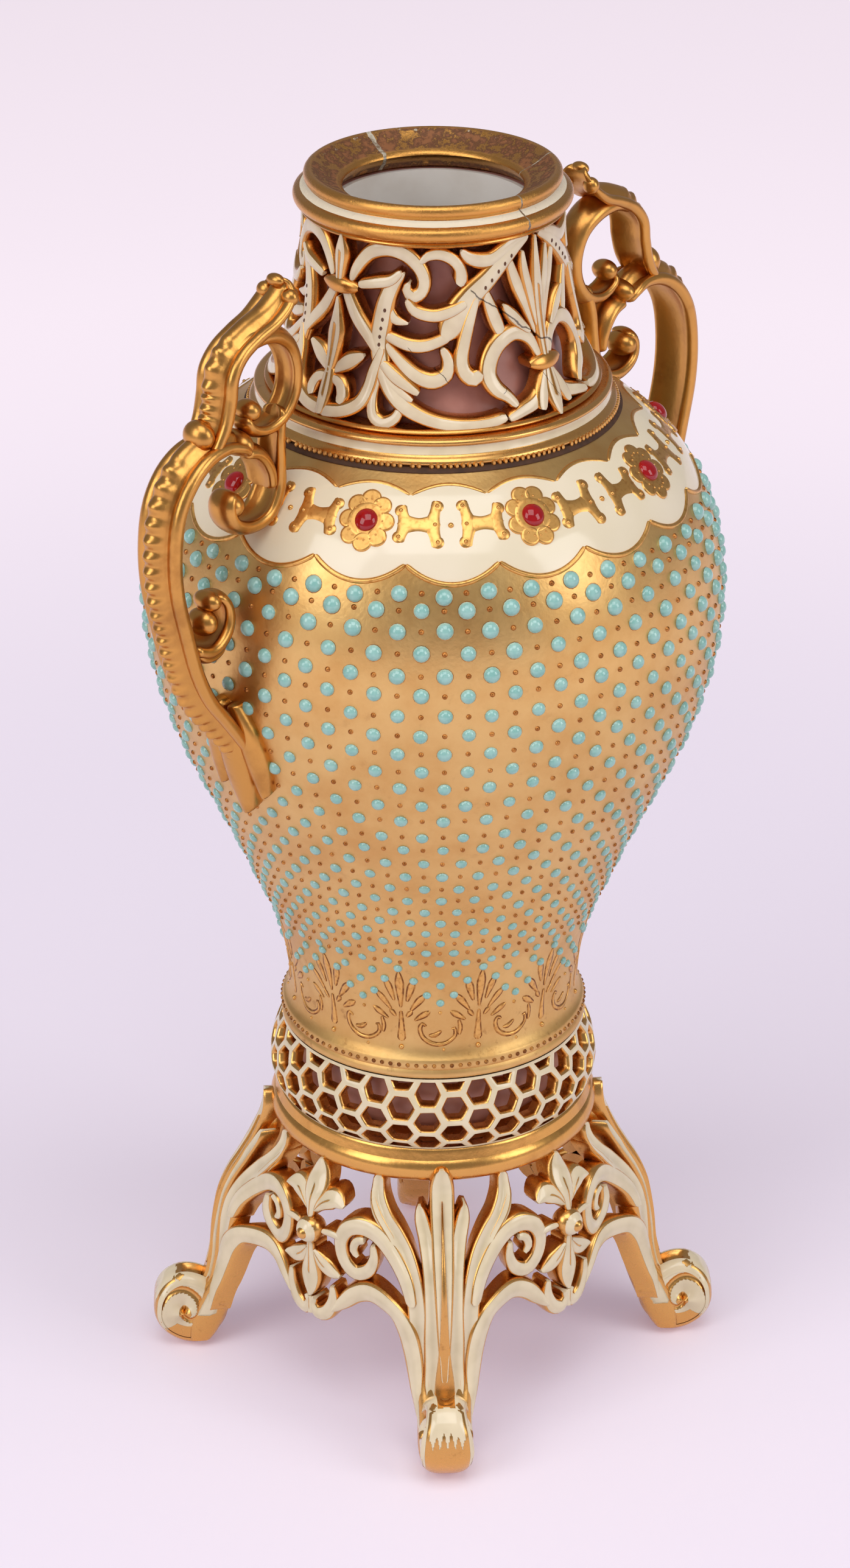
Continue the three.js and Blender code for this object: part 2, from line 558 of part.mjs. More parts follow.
// The stand's outer surface: a drum between the legs that swells forward to each leg. The curves are in
// percent of the stand's height, and of the way out from the ring to the drum or to the leg's foot.
const DRUM_CURVE = [[28, 103], [75, 94], [87, 83], [91.5, 49], [98, 3], [112, -11]];
const LEG_CURVE = [[0, 87], [30.5, 85], [39, 78], [49, 75], [57, 71], [65, 65], [73, 54], [81, 38],
  [88.5, 23], [98, 10], [108, 6]];
const standOutline = (curve, reach) => outline(curve.map(([up, out]) => [
  STAND_HEIGHT * up / 100, lerp(RING_RADIUS, reach, out / 100)]));
const panelRadius = standOutline(DRUM_CURVE, PANEL_RADIUS);
const legRadius = standOutline(LEG_CURVE, LEG_CONTACT_RADIUS);
const SWELL = 28;
const STAND_ARC = PANEL_RADIUS * DEGREE;
function standRadius(fromLeg, z) {
  const turn = Math.min(Math.abs(fromLeg), 90 - Math.abs(fromLeg));
  const forward = turn < SWELL ? Math.cos(Math.PI / 2 * turn / SWELL) ** 2 : 0;
  return panelRadius(z) + (legRadius(z) - panelRadius(z)) * forward;
}
function standWall(leg) {
  return {
    arc: STAND_ARC,
    at: (angle, z, inset) => polar(leg + angle, standRadius(angle, z) - inset, z),
  };
}

// Leaves of a leg, in degrees from its middle
const LEG_LEAF = [[0, 65, 6.7], [0, 82.7, 9.1], [0, 95.5, 9.8], [0, 102.4, 8.7], [0, 107.1, 3.5]];
const LEG_LEAFLET = [[3, 70.9, 3.1], [4.6, 80.7, 4.3], [6.6, 88.6, 5.1], [7.4, 92.9, 2.8]];
const LEG_FLANK = [[5, 53.1, 3.1], [7, 65.9, 4.7], [10.2, 75.2, 5.5], [14.2, 81.9, 5.9], [19, 87.8, 5.5],
  [22.2, 94.1, 5.5], [22.4, 100.8, 4.3]];

// A leg's core behind its leaves, as [percent of the height, set back from the leaves, depth, width]
const LEG_CORE = [
  [23.5, 0.2, 5.2, FOOT_WIDTH], [31.5, 0.1, 6.6, FOOT_WIDTH + 0.9], [39.5, -0.2, 6.8, FOOT_WIDTH + 1.6],
  [49, 0.4, 6.4, FOOT_WIDTH + 0.4], [61, 0.8, 5.6, 8.6], [73, 1, 5.0, 6.4], [86.5, 0.9, 4.2, 4.2],
  [98.5, 0.8, 3.8, 3.4],
];

function legSolid(angle, spare = 0) {
  const leaves = raised([...mirrored([LEG_LEAFLET, LEG_FLANK], 0), LEG_LEAF], 0, STAND_HEIGHT);
  const rings = LEG_CORE.map(([up, setBack, depth, width]) => {
    const z = STAND_HEIGHT * up / 100;
    const front = legRadius(z) - setBack;
    const half = width / 2 + spare;
    const at = (r, side) => new THREE.Vector3(r, side, z);
    const back = front - depth - spare;
    return [at(back, -half * 0.7), at(front - 1.4, -half), at(front + spare, 0), at(front - 1.4, half),
      at(back, half * 0.7)];
  });
  const core = joined([loft(rings), footScroll(spare)]).rotate([0, 0, angle]);
  return joined([openwork(leaves, standWall(angle), STAND_THICKNESS, spare), core]);
}

// Foot: the leg's lower end, rolled forward into a volute, with a flat where it stands
function footScroll(spare) {
  const foot = LEG_CONTACT_RADIUS;
  const side = [[-FOOT_FLAT / 2, 0], [-4.2, 2.8], [-6.4, 7.6], [-8.2, 12.2], [-9.6, 18], [-3.4, 18],
    [-1.2, 13.9], [0.8, SCROLL_HEIGHT - 0.3], [3.6, SCROLL_HEIGHT], [6.6, SCROLL_HEIGHT - 2.2],
    [SCROLL_REACH, 9.8], [SCROLL_REACH - 0.3, 6], [5.8, 2.6], [FOOT_FLAT / 2, 0]];
  const shape = new THREE.Shape(side.map(([r, z]) => new THREE.Vector2(foot + r, z)));
  const roll = new THREE.ExtrudeGeometry(shape, { depth: FOOT_WIDTH + 2 * spare, bevelEnabled: false });
  roll.rotateX(Math.PI / 2).translate(0, FOOT_WIDTH / 2 + spare, 0);
  const eye = new THREE.CylinderGeometry(1.9, 1.9, FOOT_WIDTH + 1.2 + 2 * spare, 8);
  eye.translate(foot + 2.2, 0, 8.2);
  return joined([solid(roll), solid(eye)]);
}

// Openwork between two legs. One half, in degrees from a leg, up to the panel's middle at 45.
const PANEL_SCROLLS = [
  [[8.2, 57.1, 3.5], [10.6, 67.7, 5.1], [14.6, 74.8, 6.3], [20.5, 80.7, 7.1], [26, 82.3, 7.3],
    [31, 79.9, 6.3],
    [33.2, 74, 5.5], [32, 66.9, 5.7], [28, 62.8, 5.9], [23.5, 65.4, 4.7], [21.4, 70.9, 3.9],
    [21.6, 77.6, 3.1]],
  [[6.8, 40.4, 4.7], [9.4, 48.8, 5.9], [13, 54.3, 6.7], [18, 56.7, 7.1], [23, 56.9, 7.1], [28, 54.1, 6.7],
    [32, 49.4, 5.5], [36.2, 44.5, 3.1]],
  [[44, 83.9, 2.4], [39.5, 88.6, 6.3], [34.5, 89.4, 4.7], [29.5, 85.8, 2.4]],
  [[44, 65.9, 2.4], [39.5, 62.8, 5.9], [35.5, 61.8, 5.1], [31.5, 62.2, 2.4]],
  [[36.9, 51.2, 2.8], [37.2, 45.9, 4.3], [40.4, 41.7, 5.1], [45, 40.6, 5.7]],
  [[45, 75.2, 3.5], [34, 75.2, 3.5]],
];
const PANEL_AXIS_LEAVES = [
  [[45, 78.7, 3.5], [45, 84.6, 3.1], [45, 92.5, 8.3], [45, 100.4, 4.7]],
  [[45, 70.9, 3.5], [45, 65, 3.5], [45, 53.1, 7.5], [45, 43.7, 3.1]],
];
const PANEL_BOSS = { angle: 45, up: 75, radius: 2.6, proud: 0.9 };

function panel(angle, ring) {
  const leg = angle - 45;
  const wall = standWall(leg);
  const strokes = raised([...mirrored(PANEL_SCROLLS, 45), ...PANEL_AXIS_LEAVES], 0, STAND_HEIGHT);
  const { angle: middle, up, radius, proud } = PANEL_BOSS;
  const whole = joined([
    openwork(strokes, wall, STAND_THICKNESS),
    boss(middle, STAND_HEIGHT * up / 100, radius, wall, STAND_THICKNESS, proud),
  ]);
  const cut = whole.subtract(legSolid(leg, SEAM)).subtract(legSolid(leg + 90, SEAM));
  return largest(cut.subtract(ring));
}

// Keeps the main body of a piece that trimming has left with crumbs
function largest(body) {
  const bodies = body.decompose();
  return bodies.reduce((best, next) => (next.volume() > best.volume() ? next : best));
}

// Handles: rounded straps in the plane of the vase's axis. A strap's points are [out from the belly, up
// from the shoulder's land, half width, crown], on its flat side; its crown lies to the right as the line
// is followed.
function strap(points, step = 4.6) {
  const line = points.map(([out, up]) => new THREE.Vector3(BELLY_RADIUS + out, SHOULDER_LAND + up, 0));
  const place = new THREE.CatmullRomCurve3(line, false, 'centripetal');
  const sizes = points.map(([, , half, crown]) => new THREE.Vector3(half, crown, 0));
  const size = new THREE.CatmullRomCurve3(sizes, false, 'centripetal');
  const count = Math.max(3, Math.round(place.getLength() / step));
  const rings = Array.from({ length: count + 1 }, (_, k) => {
    const t = k / count;
    const at = place.getPoint(t);
    const { x: half, y: crown } = size.getPoint(t);
    const along = place.getTangent(t);
    const section = [[0, -1], [0.68, -0.78], [1, 0], [0.68, 0.78], [0, 1]];
    return section.map(([out, across]) => new THREE.Vector3(at.x + along.y * out * crown, across * half,
      at.y - along.x * out * crown));
  });
  return loft(rings);
}

function handle() {
  const wide = HANDLE_HALF_WIDTH;
  const out = HANDLE_STANDOFF;
  const limb = [
    [-4.4, -56.9, 1.6, 1.4], [-3, -51.8, 3.2, 2.6], [-0.6, -45.7, 3.8, 3.2], [3.8, -39.3, 4.1, 3.8],
    [7.8, -33.9, wide, HANDLE_CROWN], [10.4, -28.3, wide, HANDLE_CROWN], [12.4, -21.3, wide, HANDLE_CROWN],
    [out - 0.3, -13.3, wide, HANDLE_CROWN], [out, -6.3, wide, HANDLE_CROWN], [13.4, 0.2, wide, HANDLE_CROWN],
    [10.6, 4.5, wide, HANDLE_CROWN], [6.9, 7.5, 4.1, 4.4], [2.8, 8.3, 3.6, 4.2],
    [-0.6, 7.3, 3.2, 3.6], [-2.4, 5.9, 2.4, 2.2],
  ];
  const loop = [
    [5.4, 8.2, 3.6, 3.4], [2.2, 12.2, 3.6, 3.4], [0.9, 16.5, 3.6, 3.3], [0.3, 20.2, 3.6, 3.3],
    [-1.8, 22.9, 3.5, 3.3], [-5.6, 24.4, 3.4, 3.3], [-9.6, 23.8, 3.2, 3.1], [-12.8, 21.1, 2.8, 2.9],
    [-14.2, 17.2, 2.6, 2.8], [-13.6, 13.3, 2.4, 2.8], [-10.8, 10.1, 2.3, 2.7], [-7.1, 9.5, 2.1, 2.4],
    [-4.2, 11.7, 1.8, 2],
  ];
  const leaf = [
    [-0.6, 21.9, 3.2, 3.2], [-5.6, 24.3, 3.4, 3.4], [-8.2, 26.9, 3.7, 3.4], [-9.4, 30.3, 4, 3],
    [-10, 33.1, 3.9, 2.2], [-9.4, 35.1, 2.8, 1.4],
  ];
  const shoulderScroll = [
    [-9.1, 10.7, 2.4, 2.4], [-9, 5.7, 2.6, 2.4], [-8.2, 0.7, 2.9, 2.8], [-7, -2.9, 3.1, 3.4],
    [-4.6, -4.7, 3.2, 3.4], [-2.2, -3.9, 3.1, 3.1], [-1.8, -1.3, 2.6, 2.6],
  ];
  const lowerCurl = [
    [7, -18.5, 2.8, 2.2], [5.8, -20.9, 3.3, 2.8], [6.8, -23.1, 3.5, 3], [9.4, -23.9, 3.7, 2.8],
    [12.8, -22.7, 3.8, 2.6],
  ];
  return joined([limb, loop, leaf, shoulderScroll, lowerCurl].map((points) => strap(points)));
}

const vase = new THREE.Group();
const bodyCut = solid(domed([
  [0, BODY_FOOT], ...OUTER_LEVELS.map(bodyLevel).map((z) => [bodyRadius(z) + SEAM, z]), [0, SHOULDER_LAND],
], TURN_STEPS * 2));
const ringCut = standRing(SEAM);
const handles = [0, 180].map((turn) => largest(handle().rotate([0, 0, turn]).subtract(bodyCut)));

vase.add(piece('rim_ring', rimRing(), wornGold));
vase.add(piece('neck_collar', neckCollar(), ivory, OPENWORK_TOLERANCE));
vase.add(piece('neck_foot_ring', neckFootRing(), gilt));
vase.add(piece('neck_liner', neckLiner(), blush));
vase.add(piece('body_shell', bodyShell(handles), satinGold));
vase.add(piece('honeycomb_band', honeycombBand(), ivory));
vase.add(piece('foot_bowl', footBowl(), blush));
vase.add(piece('stand_ring', standRing(), gilt));
vase.add(piece('handle_right', handles[0], gilt));
vase.add(piece('handle_left', handles[1], gilt));
for (let k = 0; k < LEG_COUNT; k += 1) {
  const angle = 45 + k * 360 / LEG_COUNT;
  vase.add(piece(`leg_${k + 1}`, largest(legSolid(angle).subtract(ringCut)), ivory, OPENWORK_TOLERANCE));
}
for (let k = 0; k < LEG_COUNT; k += 1) {
  vase.add(piece(`panel_${k + 1}`, panel(90 + k * 360 / LEG_COUNT, ringCut), ivory, OPENWORK_TOLERANCE));
}
for (let k = 0; k < JEWEL_COUNT; k += 1) {
  vase.add(piece(`cabochon_${k + 1}`, jewel(k), ruby));
}

export default vase;
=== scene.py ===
import math
import random

import bmesh
import bpy
from mathutils import Matrix, Vector


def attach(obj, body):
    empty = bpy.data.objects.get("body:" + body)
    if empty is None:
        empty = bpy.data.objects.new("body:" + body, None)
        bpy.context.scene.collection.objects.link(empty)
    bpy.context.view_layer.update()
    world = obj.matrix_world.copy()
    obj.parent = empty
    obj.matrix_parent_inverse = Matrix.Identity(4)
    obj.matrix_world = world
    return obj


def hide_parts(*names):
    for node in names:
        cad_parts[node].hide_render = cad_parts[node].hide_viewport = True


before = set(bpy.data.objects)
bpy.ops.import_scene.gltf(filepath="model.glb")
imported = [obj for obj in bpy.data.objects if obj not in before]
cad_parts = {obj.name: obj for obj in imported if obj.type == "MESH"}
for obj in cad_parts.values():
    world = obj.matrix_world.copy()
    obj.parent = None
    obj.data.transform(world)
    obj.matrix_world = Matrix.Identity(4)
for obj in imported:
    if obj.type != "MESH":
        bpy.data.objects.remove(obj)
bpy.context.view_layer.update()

# The camera stands a little above the vase, in front of one leg, and looks down on it.
# A long lens keeps the upright lines nearly parallel.
camera_lens = bpy.data.cameras.new("camera")
camera_lens.sensor_fit = "VERTICAL"
camera_lens.sensor_height = 36
camera_lens.lens = 101.95
camera_lens.shift_x = -0.00505
camera_lens.clip_start = 0.05
camera_lens.clip_end = 20
camera = bpy.data.objects.new("camera", camera_lens)
camera.location = (-0.52877, -0.47857, 0.47179)
camera.rotation_euler = (math.radians(63.503), 0, math.radians(-47.85))
bpy.context.scene.collection.objects.link(camera)
bpy.context.scene.camera = camera
bpy.context.scene.view_settings.view_transform = "Standard"


# The floor is a wide sheet of pale pinkish paper under soft studio lamps. It runs far behind
# the vase, so that it is the whole background too.
def tint(red, green, blue):
    """A paint-chart colour, 0 to 255 a channel, as the light that it gives back."""
    parts = [c / 255 for c in (red, green, blue)]
    return (*[c / 12.92 if c < 0.04 else ((c + 0.055) / 1.055) ** 2.4 for c in parts], 1)


class Level:
    """A value on its way through a finish. Sums written with it add the Math nodes."""

    def __init__(self, finish, socket):
        self.finish = finish
        self.socket = socket

    def math(self, operation, *others):
        return self.finish.node("Math", {"operation": operation}, dict(enumerate((self, *others))))

    def between(self, low, high):
        """0 below the low value and 1 above the high one, with a soft step."""
        return self.finish.node("MapRange", {"interpolation_type": "SMOOTHSTEP"},
                                {"Value": self, "From Min": low, "From Max": high})

    def __add__(self, other):
        return self.math("ADD", other)

    def __sub__(self, other):
        return self.math("SUBTRACT", other)

    def __mul__(self, other):
        return self.math("MULTIPLY", other)

    def __truediv__(self, other):
        return self.math("DIVIDE", other)

    def __rsub__(self, other):
        return self.finish.node("Math", {"operation": "SUBTRACT"}, {0: other, 1: self})

    __radd__ = __add__
    __rmul__ = __mul__


class Finish:
    """A material and its nodes."""

    def __init__(self, name):
        self.material = bpy.data.materials.new(name)
        self.material.use_nodes = True
        self.tree = self.material.node_tree
        self.shader = self.tree.nodes["Principled BSDF"]

    def node(self, kind, settings=None, values=None, output=0):
        """Adds a node: its kind, its settings, then a number, colour or link for each socket."""
        made = self.tree.nodes.new("ShaderNode" + kind)
        for key, value in (settings or {}).items():
            setattr(made, key, value)
        self.fill(made, values)
        return Level(self, made.outputs[output])

    def fill(self, made, values):
        for key, value in (values or {}).items():
            if isinstance(value, Level):
                self.tree.links.new(value.socket, made.inputs[key])
            else:
                made.inputs[key].default_value = value

    def surface(self, **values):
        """Sets the shader's own sockets, named with an underscore for a space."""
        self.fill(self.shader, {key.replace("_", " "): value for key, value in values.items()})

    def mixed(self, share, first, second):
        """One colour over another by a share of 0 to 1."""
        return self.node("Mix", {"data_type": "RGBA"}, {0: share, 6: first, 7: second}, output=2)

    def place(self):
        return self.node("TexCoord", output="Object")

    def cloud(self, scale, detail=3, roughness=0.5):
        """Soft noise about 0.5, with this many lumps a metre."""
        return self.node("TexNoise", None, {"Vector": self.place(), "Scale": scale, "Detail": detail,
                                            "Roughness": roughness})

    def bump(self, height, depth):
        """A relief of this depth in metres."""
        return self.node("Bump", None, {"Height": height, "Distance": depth})

    def along(self, axis):
        """How far a place lies along X, Y or Z, in metres."""
        return self.node("SeparateXYZ", None, {"Vector": self.place()}, output=axis)

    def reach(self):
        """How far a place lies from the vase's axis, in metres."""
        east, north = self.along("X"), self.along("Y")
        return (east * east + north * north).math("SQRT")

    def turn(self):
        """A place's angle about the vase's axis, in degrees."""
        return self.along("Y").math("ARCTAN2", self.along("X")) * (180 / math.pi)

    def marked(self):
        """The gilding mark that a form carries, 1 where it is gilt."""
        return self.node("Attribute", {"attribute_name": "gilt"}, output="Fac")


paper = Finish("studio_paper")
paper_white = paper.mixed(paper.cloud(3), tint(236, 229, 238), tint(241, 234, 243))
far = paper.node("VectorMath", {"operation": "LENGTH"}, {0: paper.place()}, output=1).between(0.2, 0.58)
seen = paper.node("LightPath", output=0).math("MAXIMUM", paper.node("LightPath", output=3))
lit = paper.mixed(far, tint(121, 110, 128), tint(174, 161, 169))
paper.surface(Base_Color=paper_white, Roughness=0.75, Emission_Strength=1.0,
              Emission_Color=paper.mixed(seen, tint(0, 0, 0), lit))
sheet = bmesh.new()
bmesh.ops.create_grid(sheet, x_segments=2, y_segments=2, size=6)
floor_mesh = bpy.data.meshes.new("floor")
sheet.to_mesh(floor_mesh)
sheet.free()
floor_mesh.materials.append(paper.material)
floor = bpy.data.objects.new("floor", floor_mesh)
bpy.context.scene.collection.objects.link(floor)

world = bpy.data.worlds.new("studio")
world.use_nodes = True
world.node_tree.nodes["Background"].inputs["Color"].default_value = tint(236, 232, 236)
world.node_tree.nodes["Background"].inputs["Strength"].default_value = 0.34
bpy.context.scene.world = world


def softbox(name, place, aim, width, height, power):
    """A square studio lamp behind white cloth."""
    lamp = bpy.data.lights.new(name, "AREA")
    lamp.shape = "RECTANGLE"
    lamp.size = width
    lamp.size_y = height
    lamp.energy = power
    stand = bpy.data.objects.new(name, lamp)
    stand.location = place
    stand.rotation_euler = (Vector(aim) - Vector(place)).to_track_quat("-Z", "Y").to_euler()
    bpy.context.scene.collection.objects.link(stand)


softbox("left_lamp", (-1.35, 0.15, 0.95), (0, 0, 0.13), 0.8, 1.1, 8)
softbox("right_lamp", (0.35, -1.45, 0.85), (0, 0, 0.13), 0.7, 1.0, 6.8)
softbox("top_lamp", (-0.42, -0.42, 1.6), (0, 0, 0.15), 1.1, 1.1, 9.5)


# The stand's ring is a turned porcelain moulding, gilded all over, with a crease between
# its flat top and its rounded edge. It carries the honeycomb band and the legs hold it.
MM = 0.001


def polar(turn, radius, height):
    """A point at an angle in degrees from the right handle, in millimetres."""
    angle = math.radians(turn)
    return Vector((radius * math.cos(angle), radius * math.sin(angle), height)) * MM


def eased(points, spacing):
    """Fills in a smooth line through a few places, a step of about this length at a time."""
    line = []
    last = len(points) - 1
    for k in range(last):
        before, start, end, after = (points[min(max(k + j, 0), last)] for j in (-1, 0, 1, 2))
        span = math.dist(start[:2], end[:2])
        behind = math.dist(before[:2], start[:2])
        ahead = math.dist(end[:2], after[:2])
        steps = max(1, round(span / spacing))
        for step in range(steps):
            t = step / steps
            place = []
            for a, b, c, d in zip(before, start, end, after):
                out = (c - a) / (behind + span) * span
                into = (d - b) / (span + ahead) * span
                place.append((2 * t**3 - 3 * t**2 + 1) * b + (t**3 - 2 * t**2 + t) * out
                             + (3 * t**2 - 2 * t**3) * c + (t**3 - t**2) * into)
            line.append(tuple(place))
    line.append(tuple(points[-1]))
    return line


def spun(profile, steps, marks=None):
    """Turns a closed outline of (radius, height) in millimetres about the vase's axis."""
    form = bmesh.new()
    mark = form.verts.layers.float.new("gilt")
    ring = [form.verts.new(polar(0, radius, height)) for radius, height in profile]
    edges = [form.edges.new((ring[k - 1], ring[k])) for k in range(len(ring))]
    bmesh.ops.spin(form, geom=ring + edges, cent=(0, 0, 0), axis=(0, 0, 1), angle=math.tau,
                   steps=steps, use_merge=True)
    bmesh.ops.recalc_face_normals(form, faces=form.faces)
    for vert in form.verts:
        vert[mark] = marks(vert.co.xy.length / MM, vert.co.z / MM) if marks else 1
    return form


def blank():
    """An empty form that can carry the gilding mark."""
    form = bmesh.new()
    form.verts.layers.float.new("gilt")
    return form


def piece(name, form, finish, slot, nodes=(), crease=38):
    """Makes a finished form one piece of the vase, in place of the nodes it stands for."""
    mesh = bpy.data.meshes.new(name)
    form.to_mesh(mesh)
    form.free()
    mesh.shade_smooth()
    mesh.set_sharp_from_angle(angle=math.radians(crease))
    mesh.materials.append(finish.material)
    made = bpy.data.objects.new(name, mesh)
    bpy.context.scene.collection.objects.link(made)
    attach(made, "root")
    if nodes:
        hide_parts(*nodes)
    return made


gilding = Finish("burnished_gold")
tarnish = gilding.cloud(160, 5, 0.6).between(0.52, 0.72)
streaks = gilding.cloud(700, 3)
gold_colour = gilding.mixed(tarnish * 0.35, tint(224, 168, 92), tint(170, 108, 52))
gilding.surface(Base_Color=gold_colour, Metallic=1.0, Roughness=0.2 + streaks * 0.12,
                Normal=gilding.bump(streaks, 0.00003))

stand_ring = eased([(19, 54.6), (24.5, 50.8), (28.9, 50.8)], 2)[:-1]
stand_ring += eased([(28.9, 50.8), (29.7, 51.4), (30.1, 53), (29.7, 54.4), (29.15, 55.05)], 0.4)
stand_ring += eased([(29.2, 55.1), (29.05, 55.6), (28.6, 57.0), (28.3, 57.2)], 0.4) + [(19, 57.2)]
piece("stand_ring_gilded", spun(stand_ring, 180), gilding, "gilt", ["stand_ring"])


# Each leg is press-moulded porcelain, luted under the ring: a bundle of ivory leaves with gilt
# edges that runs down to a scroll foot. Gilt grooves part the leaves, and each side of the
# scroll has a gilt spiral.
def smooth_radius(places):
    """The radius at a height, from a few measured ones."""
    line = eased(places, 0.5)

    def radius(height):
        if height <= line[0][0]:
            return line[0][1]
        for (low, first), (high, second) in zip(line, line[1:]):
            if height <= high:
                return first + (second - first) * (height - low) / (high - low)
        return line[-1][1]

    return radius


LEG_STEP = 90
LEG_SPREAD = 28
drum = smooth_radius([(14, 33.5), (38, 33.2), (44, 32.8), (46.5, 31.6), (50, 30), (57, 29.5)])
crest = smooth_radius([(9, 43.9), (13.7, 43.3), (15.5, 42.7), (20, 41.7), (25, 41.2), (29, 40.6), (33, 39.7),
                       (37, 38), (41, 35.6), (45, 33.4), (50, 31.4), (55, 30.8)])


def stand_radius(turn, height):
    """The stand's outer surface, which swells forward from a drum to each leg."""
    away = min(abs(turn), abs(LEG_STEP - abs(turn)))
    forward = math.cos(math.pi / 2 * away / LEG_SPREAD) ** 2 if away < LEG_SPREAD else 0
    return drum(height) + (crest(height) - drum(height)) * forward


def wall_from(start, radius, sense=1):
    """A curved wall that a stroke can be drawn on, from this angle onwards."""
    def wall(turn, height, inset):
        return polar(start + sense * turn, radius(turn, height) - inset, height)

    return wall


def bent(form, across, along, place):
    """Bends a flat grid into a closed form. place gives each crossing's point and gilding."""
    patch = bmesh.new()
    mark = patch.verts.layers.float.new("gilt")
    bmesh.ops.create_grid(patch, x_segments=across, y_segments=along, size=1)
    for vert in patch.verts:
        i = round((vert.co.x + 1) / 2 * across)
        j = round((vert.co.y + 1) / 2 * along)
        vert.co, vert[mark] = place(i, j)
    bmesh.ops.remove_doubles(patch, verts=patch.verts, dist=1e-7)
    bmesh.ops.recalc_face_normals(patch, faces=patch.faces)
    joined(form, patch)


def joined(form, patch):
    """Adds a small form to a larger one."""
    spare = bpy.data.meshes.new("patch")
    patch.to_mesh(spare)
    patch.free()
    form.from_mesh(spare)
    bpy.data.meshes.remove(spare)


def mirrored(half):
    """Completes a section that is given up to its middle."""
    return half + [(-across, *rest) for across, *rest in reversed(half) if across]


# Sections of a stroke: how far across, how far in, and how much of it is gilt
LEAF = mirrored([(-0.94, 1, 1), (-1.0, 0.6, 1), (-1.0, 0.34, 1), (-0.95, 0.2, 1), (-0.86, 0.1, 1),
                 (-0.75, 0.05, 1), (-0.64, 0.02, 0), (-0.3, -0.02, 0), (0, -0.03, 0)])
FLUTE = mirrored([(-0.94, 1, 1), (-1.0, 0.6, 1), (-1.0, 0.3, 1), (-0.96, 0.13, 1), (-0.88, 0.03, 1),
                  (-0.8, 0.0, 1), (-0.7, 0.01, 0), (-0.4, 0.07, 0.12), (-0.1, 0.1, 0.24), (0, 0.105, 0.24)])
GROOVE = mirrored([(-1, 0.5, 1), (-0.9, 0.06, 1), (-0.5, 0.16, 1), (0, 0.2, 1)]) + [(0, 1, 1)]


def stroke(form, points, wall, arc, depth, section=LEAF, spacing=0.7, lift=0.0, vein=0.0):
    """Draws a moulded stroke on a wall, through places of (degrees, height, width). Its vein is
    a gilt line that runs up its middle for this share of its length."""
    flat = [(turn * arc, height, width) for turn, height, width in points]
    line = eased(flat, spacing)
    first = tuple(a + (b - a) * 0.3 for a, b in zip(line[0], line[1]))
    last = tuple(a + (b - a) * 0.3 for a, b in zip(line[-1], line[-2]))
    rows = [(line[0], 0.0), (first, 0.72)] + [(spot, 1.0) for spot in line[1:-1]]
    rows += [(last, 0.72), (line[-1], 0.0)]
    around = len(section)

    def place(i, j):
        across, inward, gilt = section[i % around]
        (x, height, width), share = rows[j]
        x0, z0 = rows[max(j - 1, 0)][0][:2]
        x1, z1 = rows[min(j + 1, len(rows) - 1)][0][:2]
        reach = math.hypot(x1 - x0, z1 - z0) or 1
        half = width / 2 * share * across
        inset = depth * (inward if share else 0.5) - lift
        if across == 0 and 1 < j < vein * len(rows):
            gilt = 1
            inset += 0.12
        return wall((x - (z1 - z0) / reach * half) / arc, height + (x1 - x0) / reach * half, inset), gilt

    bent(form, around, len(rows) - 1, place)


def ball(form, spot, size, gilt=1.0, steps=10):
    """Sets a small round bead at a place."""
    bead = bmesh.new()
    mark = bead.verts.layers.float.new("gilt")
    bmesh.ops.create_uvsphere(bead, u_segments=steps, v_segments=max(4, steps * 2 // 3), radius=MM)
    bmesh.ops.scale(bead, vec=size, verts=bead.verts)
    bmesh.ops.translate(bead, vec=spot, verts=bead.verts)
    for vert in bead.verts:
        vert[mark] = gilt
    joined(form, bead)


def glazed(name, glaze, shade, gold, dark):
    """Ivory glaze with gilded edges, where the form's own gilding mark says."""
    finish = Finish(name)
    mark = finish.marked()
    brush = finish.cloud(900, 3)
    gilt = (mark + (brush - 0.5) * 0.3).between(0.4, 0.6)
    pool = finish.cloud(220, 2).between(0.35, 0.7)
    soil = finish.cloud(420, 6, 0.65).between(0.58, 0.78)
    blush = mark.between(0.0, 0.42)
    ivory = finish.mixed((pool * 0.3 + blush * 0.6).math("MINIMUM", 1.0), glaze, shade)
    worn = finish.mixed(soil * 0.5, gold, dark)
    finish.surface(Base_Color=finish.mixed(gilt, ivory, worn), Metallic=gilt,
                   Roughness=0.14 + gilt * (0.06 + brush * 0.16), Coat_Weight=0.2,
                   Normal=finish.bump(gilt + brush * 0.3, 0.00005))
    return finish


stand_glaze = glazed("ivory_and_gold", tint(243, 226, 192), tint(204, 186, 146), tint(221, 167, 94),
                     tint(136, 82, 38))

leg_leaves = [
    [(0, 16.4, 1.2), (0, 24, 2.2), (0, 33, 3.2), (0, 42, 4.4), (0, 48, 5.2), (0, 51.5, 5), (0, 54.4, 2.4)],
    [(3.3, 13.2, 1.6), (3.1, 15.5, 2.7), (2.9, 19, 2.9), (3.0, 24, 2.9), (3.2, 31, 2.6), (3.8, 37, 2.6),
     (5.0, 42, 3), (6.6, 45.4, 2.8), (7.4, 47.6, 1.4)],
    [(6.3, 9.4, 1.2), (6.1, 12, 2.4), (6.0, 15.5, 3.2), (6.4, 21, 3.3), (6.9, 27, 3.4), (8, 33.5, 3.6),
     (10.6, 38.4, 3.8), (14.4, 41.9, 3.8), (18.6, 44.8, 3.6), (21.6, 47.8, 3.6), (22, 51.6, 2.6)],
]
leg_flare = [(24.2, 48.6, 0.8), (22.6, 46.2, 1.8), (19.5, 43.6, 2), (15, 40.6, 1.4)]
